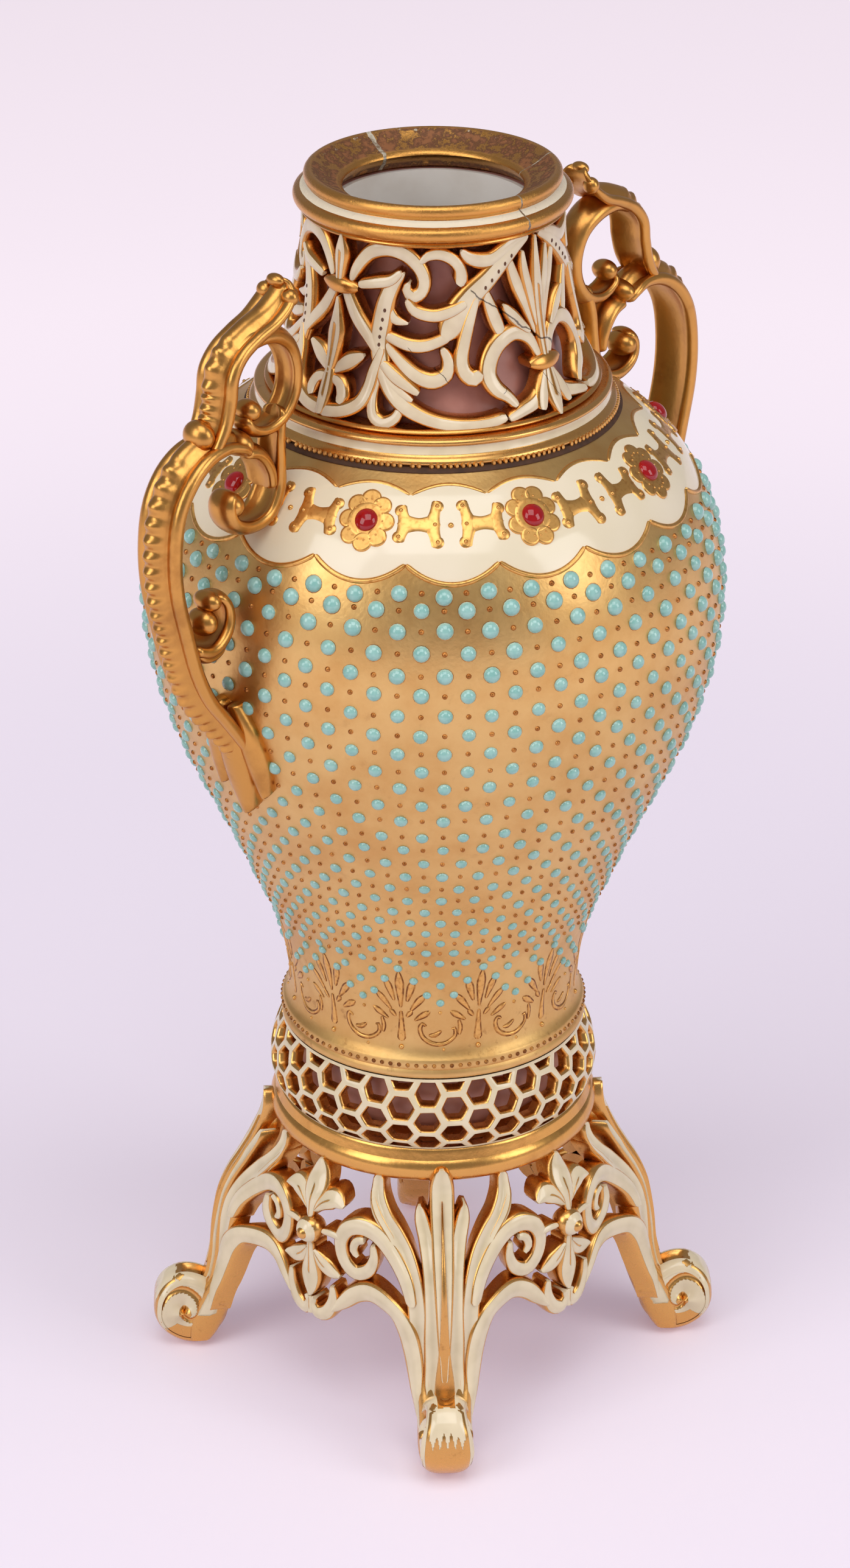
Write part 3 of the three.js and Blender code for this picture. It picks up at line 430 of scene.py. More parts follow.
leg_groove = [(0, 13.6, 3.2), (0, 16.5, 2.9), (0, 20, 2.2), (0, 28, 1.2), (0, 38, 0.7), (0, 48.5, 0.25)]
# The scroll foot's side outline, as its reach in each direction from the scroll's eye, and how
# wide the foot is there. Directions are in degrees, up from straight out.
EYE_OUT, EYE_UP, EYE_SHARE = 47.3, 7.9, 0.17
scroll_reach = [(-186, 8.0, 4.9), (-173.8, 8.35, 4.9), (-142, 8.0, 4.8), (-124.8, 8.4, 4.5),
                (-106, 8.15, 4.2), (-84, 7.3, 4.2), (-65, 6.6, 4.4), (-38, 6.05, 4.7), (-9, 5.8, 4.9),
                (11, 5.8, 4.8), (34.7, 6.3, 4.5), (63, 7.0, 3.9), (90, 7.55, 3.6), (119, 7.6, 3.9),
                (150, 7.8, 4.5), (174, 8.0, 4.9)]
CHEEK_RINGS = 28
TREAD_ROWS = 60
HOLLOW_FROM, HOLLOW_HALF = 82, 0.36
SPIRAL_START, SPIRAL_LENGTH, SPIRAL_DEPTH = -30, 330, 0.45
COMB_RATE = 13


def tread(turn, half, across):
    """The foot's front and underside: how far sideways, the share of the reach, and its gilding."""
    aside = abs(across)
    share = 1 - 0.27 * aside ** 3.2
    if turn > HOLLOW_FROM and aside < HOLLOW_HALF:
        share -= 0.14 * (1 - (across / HOLLOW_HALF) ** 2) * min(1, (turn - HOLLOW_FROM) / 12)
    # Ivory lies on the scroll's top, with an edge combed into the gold, and on its two flanks
    comb = 10 + 32 * abs(math.sin(across * COMB_RATE)) ** 1.3 * (1 - 0.7 * aside)
    patch = comb < turn < 80 - 20 * across ** 2 and aside < 0.62
    flank = aside > 0.78 and -50 < turn < 80
    rolled = abs(turn - 84) + 40 * abs(aside - 0.6) > 8
    shoulder = 76 < turn < 150 and aside > HOLLOW_HALF and rolled
    sideways = half * math.copysign(1 - (1 - aside) ** 1.25, across)
    return sideways, share, 0.0 if patch or flank or shoulder else 1.0


def cheek(turn, half, share):
    """The same for a side of the foot: a gilt spiral cut in it, and gold below and round the eye."""
    sideways = half * (1 - 0.25 * max(0, share - 0.62))
    under = turn < -34 - 40 * (1 - share) and share > 0.4
    rim = share > 0.7 and not -120 < turn < 168
    gilt = 1.0 if under or rim or share < EYE_SHARE else 0.0
    for wind in (0, 360):
        spiral = turn + wind - SPIRAL_START
        away = abs(share - (0.93 - 0.235 * spiral / 90)) * 7
        if 0 < spiral < SPIRAL_LENGTH and away < 0.72:
            sideways -= SPIRAL_DEPTH * (1 - (away / 0.72) ** 2)
            gilt = 1.0
    return sideways, share, gilt


def scroll_foot(form, leg):
    """Models the upturned scroll round its eye: a cheek, the tread and the other cheek."""
    line = eased([(turn / 10, reach, half) for turn, reach, half in scroll_reach], 0.22)[:-1]
    around = len(line)
    steps = CHEEK_RINGS * 2 + TREAD_ROWS - 1

    def place(i, j):
        turn, reach, half = line[i % around]
        turn *= 10
        row = j - CHEEK_RINGS
        if 0 <= row < TREAD_ROWS:
            sideways, share, gilt = tread(turn, half, 1 - 2 * (row + 0.5) / TREAD_ROWS)
        else:
            sideways, share, gilt = cheek(turn, half, min(j, steps - j) / 30 * 0.9)
            sideways *= 1 if row < 0 else -1
        angle = math.radians(turn)
        spot = Vector((EYE_OUT + reach * share * math.cos(angle), sideways,
                       EYE_UP + reach * share * math.sin(angle)))
        return Matrix.Rotation(math.radians(leg), 3, "Z") @ spot * MM, gilt

    bent(form, around, steps, place)


CORE_SIDES = 20


def leg_core(form, leg):
    """The leg's own body behind its leaves, gilt where it shows in the grooves and behind."""
    rows = [(0.3, 46.6, 3.6, 4.2), (3, 47.0, 6.0, 4.9), (7, 46.4, 7.4, 5.0), (12, 44.2, 7.2, 5.1),
            (16, 42.0, 6.2, 5.2), (20, 40.9, 5.8, 5.4), (25, 40.0, 5.4, 5.2), (30, 39.3, 5.2, 4.7),
            (35, 37.8, 5.0, 4.0), (40, 35.0, 4.6, 3.4), (45, 32.2, 4.0, 2.6), (50, 30.2, 3.6, 2.0)]
    line = eased(rows, 1.2)
    outline = []
    for k in range(CORE_SIDES):
        angle = math.tau * k / CORE_SIDES
        outline.append([math.copysign(abs(part) ** 0.6, part) for part in (math.sin(angle), math.cos(angle))])

    def place(i, j):
        sideways, forward = outline[i % CORE_SIDES]
        height, front, depth, half = line[j]
        share = 0 if j in (0, len(line) - 1) else 1
        spot = Vector((front - depth / 2 + forward * depth / 2 * share, sideways * half * share, height))
        edge = abs(sideways) > 0.9 and -0.1 < forward < 0.6 and 8 < height < 34
        return Matrix.Rotation(math.radians(leg), 3, "Z") @ spot * MM, 0.0 if edge else 1.0

    bent(form, CORE_SIDES, len(line) - 1, place)


# An arc is how many millimetres a degree is worth where the strokes lie
LEG_ARC = 0.62
for number in range(4):
    leg = 45 + LEG_STEP * number
    leg_wall = wall_from(leg, stand_radius)
    form = blank()
    leg_core(form, leg)
    for side in (1, -1):
        for k, leaf in enumerate(leg_leaves[1:] + [leg_flare]):
            drawn = [(side * turn, height, width) for turn, height, width in leaf]
            stroke(form, drawn, leg_wall, LEG_ARC, depth=3.6, section=FLUTE, lift=0.3 - 0.25 * k)
    stroke(form, leg_leaves[0], leg_wall, LEG_ARC, depth=3.8, section=FLUTE, lift=0.6)
    stroke(form, leg_groove, leg_wall, LEG_ARC, depth=1.4, section=GROOVE, lift=0.72)
    scroll_foot(form, leg)
    piece(f"leg_{number + 1}_glazed", form, stand_glaze, "ivory", [f"leg_{number + 1}"])


# Between each pair of legs stands a pierced porcelain panel, luted to both and to the ring: two
# C-scrolls, two long leaves that arch down to the legs, and a flower with leaf sprigs above and
# below it. It is ivory with gilt edges, like the legs.
panel_scrolls = [
    [(8.6, 30, 2.0), (10.6, 34.4, 3.0), (14.6, 38, 3.6), (20.5, 41, 4.0), (26, 41.8, 4.1), (31, 40.6, 3.7),
     (33.4, 37.6, 3.2), (32, 33.8, 3.2), (28, 31.8, 3.4), (23.5, 33.2, 2.9), (21.4, 36, 2.4),
     (21.8, 38.9, 1.6)],
    [(24.6, 39.4, 2.0), (27.6, 38.6, 2.0), (28.6, 36.6, 2.0), (26.8, 35.4, 1.6)],
    [(6.4, 8.6, 0.6), (6.7, 11.4, 1.3), (7.1, 14.4, 2.1), (7.5, 17.6, 2.9), (8.3, 21, 3.4), (10, 24.8, 3.8),
     (13, 27.5, 3.8), (18, 28.7, 4.2), (23, 28.8, 4.2), (28, 27.4, 4), (32, 25.1, 3.2), (36.4, 22.4, 1.2)],
    [(43.8, 42.0, 1.2), (40.5, 44.4, 3.8), (36.5, 45.4, 3.8), (32.4, 44.6, 1)],
    [(43.8, 34.0, 1.2), (40.5, 31.8, 3.6), (36.8, 30.6, 3.4), (33, 30.2, 1)],
    [(36.2, 27.8, 1.4), (36.2, 24.4, 2.6), (38.6, 21.5, 3.2), (42.4, 20.6, 3.0), (44.4, 22.2, 2.2),
     (43.0, 23.8, 1.6)],
    [(40.6, 38.4, 1.6), (37, 38.6, 1.8), (33, 38.2, 1.8)],
]
panel_leaves = [
    [(45, 40.6, 1.8), (45, 43.0, 2.6), (45, 46.6, 5.8), (45, 49.6, 4.2), (45, 51.8, 1)],
    [(45, 35.6, 1.8), (45, 33, 2.4), (45, 28.6, 5.2), (45, 25.8, 3.8), (45, 23.8, 1)],
    [(45, 24, 1.4), (45, 21.6, 2.2), (45, 20, 2)],
]
PETAL = mirrored([(-0.94, 1, 1), (-1.0, 0.6, 1), (-1.0, 0.3, 1), (-0.96, 0.14, 1), (-0.88, 0.05, 1),
                  (-0.8, 0.02, 1), (-0.7, -0.01, 0), (-0.4, -0.06, 0.04), (-0.12, -0.085, 0.12),
                  (0, -0.09, 0.14)])
PANEL_ARC = 0.585
PANEL_DEPTH = 3.8
for number in range(4):
    panel_wall = wall_from(45 + LEG_STEP * number, stand_radius)
    form = blank()
    for k, scroll in enumerate(panel_scrolls):
        for mirror in (False, True):
            drawn = [(LEG_STEP - turn if mirror else turn, height, width) for turn, height, width in scroll]
            vein = 0.5 if k in (3, 4) else 0
            stroke(form, drawn, panel_wall, PANEL_ARC, PANEL_DEPTH, PETAL, lift=0.12 * (k % 3), vein=vein)
    for leaf in panel_leaves:
        stroke(form, leaf, panel_wall, PANEL_ARC, PANEL_DEPTH, PETAL, lift=0.35, vein=0.55)
    for inset, size, gilt, steps in ((0.2, 2.75, 1.0, 24), (-0.3, 2.5, 0.0, 24), (-2.1, 1.2, 1.0, 16)):
        ball(form, panel_wall(LEG_STEP / 2, 38.1, inset), (size, size, size), gilt, steps)
    piece(f"panel_{number + 1}_glazed", form, stand_glaze, "ivory", [f"panel_{number + 1}"])


# Behind the honeycomb is the vase's real bottom, a plain thrown bowl glazed a dusty pink, which
# stands on the ring and carries the body's weight. It shows only through the cells.
pink = Finish("dusty_pink")
bloom = pink.cloud(120, 4)
pink_colour = pink.mixed(bloom.between(0.35, 0.7), tint(214, 160, 146), tint(190, 134, 120))
pink.surface(Base_Color=pink_colour, Roughness=0.3 + bloom * 0.15, Normal=pink.bump(bloom, 0.00006))
bowl = eased([(21.2, 57.2), (24.2, 60.4), (24.9, 63.6), (24.4, 67.6), (22.8, 71.0)], 0.8)
bowl += [(20.4, 71.0)] + eased([(20.6, 70.8), (22.0, 67.4), (22.4, 63.6), (20.4, 60.6), (17.8, 59.6),
                                (0.02, 59.6)], 0.8)
bowl += [(0.02, 57.2)]
piece("foot_bowl_glazed", spun(bowl, 120), pink, "blush", ["foot_bowl"])


# The honeycomb band is cut by hand through a thrown porcelain barrel, cell by cell, and stands on
# the ring. Its webs are ivory in front, and every cell's edge and wall is gilt.
comb_radius = smooth_radius([(57.2, 28.5), (58.6, 29.4), (60.5, 29.95), (63, 30), (66.5, 29.3), (69, 28.3),
                             (71, 27.5)])
comb_level = smooth_radius([(0, 57.2), (1, 59.0), (2, 61.0), (3, 63.2), (4, 65.8), (5, 68.4), (6, 71.0)])
COMB_COLUMNS, COMB_ROWS = 38, 6
COMB_THIRD = 360 / (3 * COMB_COLUMNS)
FIRST_CELL = -139.85
CELL_LOW, CELL_HIGH = 57.7, 70.5
CELL_STEPS = 24
# From a cell's border on the web to its hole: the size, how far in, and how much of it is gilt
cell_section = [(1, 0.0, 0), (0.91, 0.0, 0), (0.84, 0.04, 0), (0.812, 0.1, 1), (0.765, 0.22, 1),
                (0.72, 0.5, 1), (0.705, 1.4, 1), (0.72, 2.3, 1), (1, 2.3, 1)]
hexagon = [(2, 0), (1, 1), (-1, 1), (-2, 0), (-1, -1), (1, -1)]
honeycomb = blank()
random.seed(7)
for column in range(COMB_COLUMNS):
    for row in range(1 - column % 2, COMB_ROWS + 1, 2):
        # Hand cutting leaves every hole a little off in size, place and shape
        drift = [random.uniform(-0.035, 0.035) for _ in hexagon]

        def cell_place(i, j, column=column, row=row, drift=drift):
            side, share = divmod((i % CELL_STEPS) / 4, 1)
            corner, after = int(side), (int(side) + 1) % 6
            a, b, wobble = (first + (second - first) * share for first, second in zip(
                (*hexagon[corner], drift[corner]), (*hexagon[after], drift[after])))
            size, inset, gilt = cell_section[j]
            hole = size < 1
            if hole:
                size = size * (1 - 0.1 * max(0.0, math.hypot(a * 0.88, b * 1.02) - 1.25)) + wobble
            height = comb_level(min(max(row + b * size, 0), COMB_ROWS))
            if hole:
                height = min(max(height, CELL_LOW), CELL_HIGH)
            turn = FIRST_CELL + (3 * column + a * size) * COMB_THIRD
            return polar(turn, comb_radius(height) - inset, height), gilt

        bent(honeycomb, CELL_STEPS, len(cell_section) - 1, cell_place)
bmesh.ops.remove_doubles(honeycomb, verts=honeycomb.verts, dist=2e-6)
piece("honeycomb_glazed", honeycomb, stand_glaze, "ivory", ["honeycomb_band"], crease=60)


# The body is thrown porcelain, luted to the honeycomb band. It has satin gilding all over, but
# for a scalloped ivory band on the shoulder, and fine mouldings finish its foot.
body_curve = [(26.55, 76.6), (26.25, 78.5), (26.5, 82.4), (27.2, 87), (29.2, 94.5), (31.7, 100), (35.5, 109),
              (40.2, 119), (44.8, 129), (48.2, 139), (50.1, 148), (50.6, 156), (50.1, 163), (48.8, 169),
              (46.8, 174.6), (43.9, 180), (40.3, 184), (36.9, 187.1), (34.0, 188.9), (31.4, 190.5)]
body_profile = eased([(22.9, 71.0), (25.4, 71.0), (27.2, 71.0)], 1.5)[:-1]
body_profile += eased([(27.2, 71.0), (27.75, 71.5), (27.75, 72.3), (27.45, 72.9)], 0.3)[:-1]
body_profile += eased([(27.45, 72.9), (27.65, 73.4), (27.65, 74.3), (27.4, 74.9)], 0.3)[:-1]
body_profile += eased([(27.4, 74.9), (27.1, 75.1)] + body_curve, 1.1)[:-1]
body_profile += [(31.4, 190.5), (25.2, 190.5), (25.2, 189.3), (22.9, 189.3)]
body_profile += eased([(22.9, 186.6), (30, 184.9), (37.6, 181), (42.6, 175.4), (45.9, 168.6), (47.5, 156),
                       (46.8, 146), (44.4, 136), (40.3, 126), (35.4, 116), (30.4, 106), (26.4, 97), (24, 89),
                       (23.1, 80), (22.9, 72)], 5)

# The ivory band's two scalloped edges, at places of -1 to 1 across a lobe
FIRST_LOBE = -153.7
LOBES = 18
LOBE_STEP = 360 / LOBES


def low_edge(across):
    return 178.7 - 2.9 * (1 - across * across)


def high_edge(across):
    return 187.5 + 1.2 * (1 - across * across)


satin = Finish("satin_gold_and_ivory")
height = satin.along("Z") / MM
lobe = (satin.turn() + (360 - FIRST_LOBE)).math("PINGPONG", LOBE_STEP / 2) / (LOBE_STEP / 2)
inside = (height - low_edge(lobe)).between(-0.05, 0.05) * (high_edge(lobe) - height).between(-0.05, 0.05)
inside = inside * satin.reach().between(0.0302, 0.0303)
grain = satin.cloud(1500, 3)
patches = satin.cloud(90, 5, 0.6)
brown = satin.cloud(260, 6, 0.7).between(0.58, 0.72)
low_part = 1 - height.between(76, 98)
gold_body = satin.mixed(patches.between(0.3, 0.75), tint(226, 186, 120), tint(212, 164, 98))
gold_body = satin.mixed(brown * (0.16 + low_part * 0.4), gold_body, tint(150, 98, 54))
whites = satin.mixed(satin.cloud(60, 2).between(0.3, 0.7), tint(246, 232, 206), tint(238, 224, 194))
satin.surface(Base_Color=satin.mixed(inside, gold_body, whites), Metallic=1 - inside,
              Roughness=0.32 + grain * 0.12 + low_part * 0.08 - inside * 0.26,
              Normal=satin.bump(grain * (1 - inside), 0.00003))
piece("body_gilded", spun(body_profile, 256), satin, "satin_gold", ["body_shell"])


# Raised gold cords edge the ivory scallops. Eight-petalled gilt florets and pairs of gilt
# clasps lie between them, with gold dots, all in gilt paste fired on the glaze.
body_radius = smooth_radius([(75.2, 27.2)] + [(height, radius) for radius, height in body_curve])


def body_wall(turn, height, inset):
    """A point on the body, or this far in from it along its own slope."""
    slope = (body_radius(height + 0.3) - body_radius(height - 0.3)) / 0.6
    steep = math.hypot(1, slope)
    return polar(turn, body_radius(height) - inset / steep, height + inset * slope / steep)


RAISED = mirrored([(-1, 1, 1), (-0.92, 0.3, 1), (-0.7, 0.06, 1), (-0.3, 0, 1)])
CORD = mirrored([(-1, 1, 1), (-0.9, 0.45, 1), (-0.5, 0.1, 1), (0, 0, 1)])
paste_gold = Finish("raised_paste_gold")
crumb = paste_gold.cloud(1300, 4)
paste_colour = paste_gold.mixed(crumb.between(0.45, 0.8), tint(226, 174, 100), tint(190, 132, 68))
paste_gold.surface(Base_Color=paste_colour, Metallic=1.0, Roughness=0.28 + crumb * 0.14,
                   Normal=paste_gold.bump(crumb, 0.00001))
trim = blank()
steps = [s / 6 for s in range(-6, 7)]
for k in range(LOBES):
    middle = FIRST_LOBE + LOBE_STEP * k
    for edge, width, arc, depth, spacing, lift in ((low_edge, 0.9, 0.78, 0.7, 0.8, 0.34),
                                                   (high_edge, 0.5, 0.62, 0.5, 0.9, 0.14)):
        places = [(middle + LOBE_STEP / 2 * s, edge(s), width) for s in steps]
        stroke(trim, places, body_wall, arc, depth, CORD, spacing, lift)


SUNK = 0.08    # how deep a drop sits in the glaze


def body_frame(turn, height, inset):
    """A place on the body, then the ways out, sideways and up along it."""
    seat = body_wall(turn, height, inset)
    out = (body_wall(turn, height, -1) - seat).normalized()
    sideways = Vector((0, 0, 1)).cross(out).normalized()
    return seat, out, sideways, out.cross(sideways)


def dropped(form, drops, segments, rings, flat=1.0):
    """Sets drops on the body: (degrees, height, half width, rise). A higher flat gives a level top."""
    bead = bmesh.new()
    bmesh.ops.create_uvsphere(bead, u_segments=segments, v_segments=rings, radius=1)
    bmesh.ops.delete(bead, geom=[vert for vert in bead.verts if vert.co.z < -0.02], context="VERTS")
    bmesh.ops.holes_fill(bead, edges=bead.edges)
    for vert in bead.verts:
        vert.co.z = min(1, vert.co.z * flat)
    model = bpy.data.meshes.new("drop")
    bead.to_mesh(model)
    bead.free()
    for turn, height, half, rise in drops:
        seat, out, sideways, upward = body_frame(turn, height, SUNK)
        turned = Matrix((sideways * half, upward * half, out * (rise + SUNK))).transposed() * MM
        placed = model.copy()
        placed.transform(Matrix.Translation(seat) @ turned.to_4x4())
        form.from_mesh(placed)
        bpy.data.meshes.remove(placed)
    bpy.data.meshes.remove(model)


FLORETS = 9
FLORET_STEP = 360 / FLORETS
FLORET_LEVEL, CLASP_LEVEL = 184.1, 184
BAND_ARC, CLASP_DEPTH = 0.70, 0.5
pads = []
petals = []
for k in range(FLORETS):
    heart = FIRST_LOBE + FLORET_STEP * k
    between = heart + FLORET_STEP / 2
    pads.append((between, 183.9, 0.5, 0.45))
    for mirror in (1, -1):
        tall, short = between - mirror * 3.5, between - mirror * 11.6
        for post, rise, bow in ((tall, 2.25, -1.1), (short, 1.65, 1.1)):
            ends = post - mirror * bow * 0.35
            stem = [(ends, rise + 0.6, 1.9), (post + mirror * bow * 0.3, rise * 0.55, 2.0),
                    (post + mirror * bow * 0.7, 0, 2.8)]
            stem += [(turn, -up, width) for turn, up, width in reversed(stem[:2])]
            stroke(trim, [(turn, CLASP_LEVEL + up, width) for turn, up, width in stem], body_wall, BAND_ARC,
                   CLASP_DEPTH, RAISED, spacing=0.35, lift=0.17)
            for up in (1, -1):
                pads.append((ends, CLASP_LEVEL + up * rise, 1.14, 0.22))
                pads.append((ends, CLASP_LEVEL + up * rise, 0.42, 0.5))
        bar = ((short + mirror * 0.4, 2.8), ((short + tall) / 2, 1.8), (tall - mirror * 0.4, 2.8))
        stroke(trim, [(turn, CLASP_LEVEL, width) for turn, width in bar], body_wall, BAND_ARC,
               CLASP_DEPTH, RAISED, spacing=0.5, lift=0.16)
        pads.append((tall - mirror * 0.2, CLASP_LEVEL, 0.4, 0.5))
    petals.append((heart, FLORET_LEVEL, 3.4, 0.26))
    rings = ((8, 0.4 * (k % 3), 3.05, 2.75, 1.72, 0.26, petals), (17, 0, 2.75, 2.6, 0.27, 0.45, pads))
    for count, first, across, up, half, rise, marks in rings:
        for dot in range(count):
            turn = math.tau * (dot + first) / count
            marks.append((heart + across * math.cos(turn) / BAND_ARC, FLORET_LEVEL + up * math.sin(turn),
                          half, rise))
dropped(trim, pads, segments=14, rings=6)
dropped(trim, petals, segments=24, rings=12, flat=2.4)
piece("shoulder_trim", trim, paste_gold, "gilt")


# Nine ruby cabochons sit in the florets, one in the middle of each. They are domes of clear red
# enamel, fired on a gilt ground.
ruby = Finish("ruby_enamel")
red = ruby.mixed(ruby.cloud(500, 2), tint(190, 8, 20), tint(128, 2, 10))
ruby.surface(Base_Color=red, Roughness=0.08, Coat_Weight=0.15, Coat_Roughness=0.03)
RUBY_WIDE, RUBY_TALL, RUBY_RISE = 1.95, 2.05, 1.35
for k in range(FLORETS):
    dome = blank()
    bmesh.ops.create_uvsphere(dome, u_segments=28, v_segments=18, radius=1)
    seat, out, sideways, upward = body_frame(FIRST_LOBE + FLORET_STEP * k, FLORET_LEVEL, 0)
    for vert in dome.verts:
        x, y, z = vert.co
        rise = out * (z * RUBY_RISE + 0.1)
        vert.co = seat + (sideways * x * RUBY_WIDE + upward * y * RUBY_TALL + rise) * MM
    piece(f"cabochon_{k + 1}_enamel", dome, ruby, "ruby", [f"cabochon_{k + 1}"])


# Turquoise enamel drops, laid on by brush and fired, cover the gilding in crossed rows, with a
# small gold drop between each two. The rows shrink with the body and end in points above the
# tooled border. Each drop sits in a thin brown ring, which is partly a gold rim and partly painted
# shade standing in for the drop's contact shadow.
ROW_DROPS = 40
ROW_STEP = 360 / ROW_DROPS
row_a = [174.5, 168.5, 161, 153.7, 146.5, 139.2, 132, 125, 118.2, 112, 106.2, 101, 95.8]
row_b = [171.8, 164.8, 157.5, 150.1, 142.8, 135.5, 128.2, 121.5, 115, 109, 103.5, 98.5]
POINTS = 12
POINT_STEP = 360 / POINTS
point_drops = [(-5.4, 93.1), (5.4, 93.1), (0, 90.4), (-9.7, 91.4), (9.7, 91.4), (-5.0, 88.2), (5.0, 88.2),
               (0, 86.4), (15, 94.2)]


def drop_size(height):
    """Half the width of a drop at this height."""
    return 0.82 + (height - 88) * 0.0076


random.seed(11)
turquoise_drops = []
gold_drops = []
for rows, first in ((row_a, -135.65), (row_b, -131.15)):
    for height in rows:
        for k in range(ROW_DROPS):
            turn = first + ROW_STEP * k
            jitter = random.uniform(-0.12, 0.12)
            size = drop_size(height) * random.uniform(0.92, 1.06)
            half_lobe = LOBE_STEP / 2
            edge = low_edge(1 - abs((turn - FIRST_LOBE) % LOBE_STEP - half_lobe) / half_lobe)
            # The top rows follow the scallops, and a drop too near the cord moves down from it
            top = edge - 0.5 - size
            if height < top + 1.7:
                flatter = 0.5 + min(1, max(0, (height - 95) / 70)) * 0.3
                turquoise_drops.append((turn + jitter, min(height + jitter, top), size, size * flatter))
            if height + 1 < edge:
                gold_drops.append((turn + ROW_STEP / 2, height, 0.2 + drop_size(height) * 0.22, 0.36))
for k in range(POINTS):
    for turn, height in point_drops:
        turquoise_drops.append((-135.15 + POINT_STEP * k + turn, height, drop_size(height) * 0.95, 0.62))
enamel = Finish("turquoise_enamel")
enamel_colour = enamel.mixed(enamel.cloud(600, 2).between(0.35, 0.7), tint(162, 208, 200),
                             tint(140, 194, 186))
enamel.surface(Base_Color=enamel_colour, Roughness=0.12, Coat_Weight=0.5, Coat_Roughness=0.05)
# Brown gold for the small gold drops, and for the rings round the turquoise drops, which are painted contact
# shadow as well as gold rim
brown_gold = Finish("brown_paste_gold_and_drop_shade")
crust = brown_gold.cloud(1100, 3)
crust_and_shade_colour = brown_gold.mixed(crust.between(0.4, 0.65), tint(160, 100, 50), tint(204, 140, 76))
brown_gold.surface(Base_Color=crust_and_shade_colour, Metallic=1.0, Roughness=0.3 + crust * 0.2)
# Each ring is painted shade at a drop's foot, a little wider than the drop
drop_shade_rings = [(turn, height, half * 1.16 + 0.05, 0.1) for turn, height, half, rise in turquoise_drops]
for name, drops, segments, rings, finish, slot, crease in (
        ("turquoise_drops", turquoise_drops, 14, 8, enamel, "satin_gold", 80),
        ("gold_drops", gold_drops, 10, 6, brown_gold, "gilt", 80),
        ("drop_shade_rings", drop_shade_rings, 14, 4, brown_gold, "gilt", 38)):
    form = bmesh.new()
    dropped(form, drops, segments, rings)
    piece(name, form, finish, slot, crease=crease)


# The tooled border round the foot of the body is drawn in raised gold paste with brown hollows:
# palmettes between the points of the turquoise rows, and small C-scrolls between them. A row of
# small beads lies in the hollow of the foot's moulding.
bronze = Finish("tooled_brown_gold")
rub = bronze.cloud(900, 4).between(0.4, 0.65)
bronze.surface(Base_Color=bronze.mixed(rub, tint(128, 78, 38), tint(196, 140, 72)), Metallic=0.8,
               Roughness=0.42)
tooling = blank()
raised = blank()
leaf_marks = [((0, 85.0), (0, 93.4), 1.5), ((2.4, 86.4), (5.2, 91.6), 1.25), ((3.6, 84.4), (9.4, 88.4), 1.25),
              ((5.0, 82.4), (11.2, 84.6), 1.2), ((2.0, 83.0), (4.4, 84.6), 0.8)]
scroll_marks = [
    [(-5.2, 81.2, 0.3), (-6.9, 81.8, 0.5), (-7.8, 80.6, 0.6), (-6.4, 78.8, 0.7), (-2.6, 77.7, 0.7),
     (2.2, 77.8, 0.6), (5.8, 79.2, 0.5), (5.6, 80.8, 0.4), (4.2, 80.6, 0.3)],
    [(-4.6, 79.4, 0.3), (-2.2, 79.4, 0.8), (0.6, 80.4, 0.3)],
    [(7.2, 82.6, 0.3), (7.9, 80.8, 0.6), (7.4, 79.2, 0.3)],
]
BORDER_ARC, BORDER_DEPTH = 0.46, 0.4
BORDER_BEADS = 110


def tooled(points):
    """A raised gold mark with brown paint round it."""
    painted = [(turn, height, width + 0.55) for turn, height, width in points]
    stroke(tooling, painted, body_wall, BORDER_ARC, BORDER_DEPTH, RAISED, spacing=0.5, lift=0.07)
    stroke(raised, points, body_wall, BORDER_ARC, BORDER_DEPTH, CORD, spacing=0.5, lift=0.17)


for k in range(POINTS):
    middle = -120.15 + POINT_STEP * k
    for mirror in (1, -1):
        for (t0, z0), (t1, z1), width in leaf_marks[0 if mirror == 1 else 1:]:
            tooled([(middle + mirror * t0, z0, 0.2),
                    (middle + mirror * (t0 + t1 * 2) / 3, (z0 + z1 * 2) / 3, width),
                    (middle + mirror * t1, z1, 0.25)])
    side = middle + POINT_STEP / 2
    tooled([(middle, 84.4, 0.3), (middle, 80.6, 1.0), (middle, 78.6, 1.5), (middle, 77.9, 1.2)])
    for mark in scroll_marks:
        tooled([(side + turn, height, width) for turn, height, width in mark])
    for turn, height, size in ((middle, 76.9, 0.5), (side, 84.2, 0.35), (side + 1.4, 76.6, 0.3)):
        ball(raised, body_wall(turn, height, 0.05), (size, size, size), steps=8)
for k in range(BORDER_BEADS):
    ball(tooling, polar(360 / BORDER_BEADS * k, 27.62, 73.85), (0.42, 0.42, 0.42), steps=8)
piece("tooled_border", tooling, bronze, "satin_gold")
piece("tooled_leaves", raised, paste_gold, "satin_gold")


# The neck's foot ring is a turned porcelain moulding, gilt with an ivory band and a beaded edge.
# It is luted to the shoulder and carries the pierced collar. A dark line of old glue shows
# under it.
def ring_marks(radius, height):
    return 0.0 if 192.35 < height < 193.72 and radius > 28.5 else 1.0


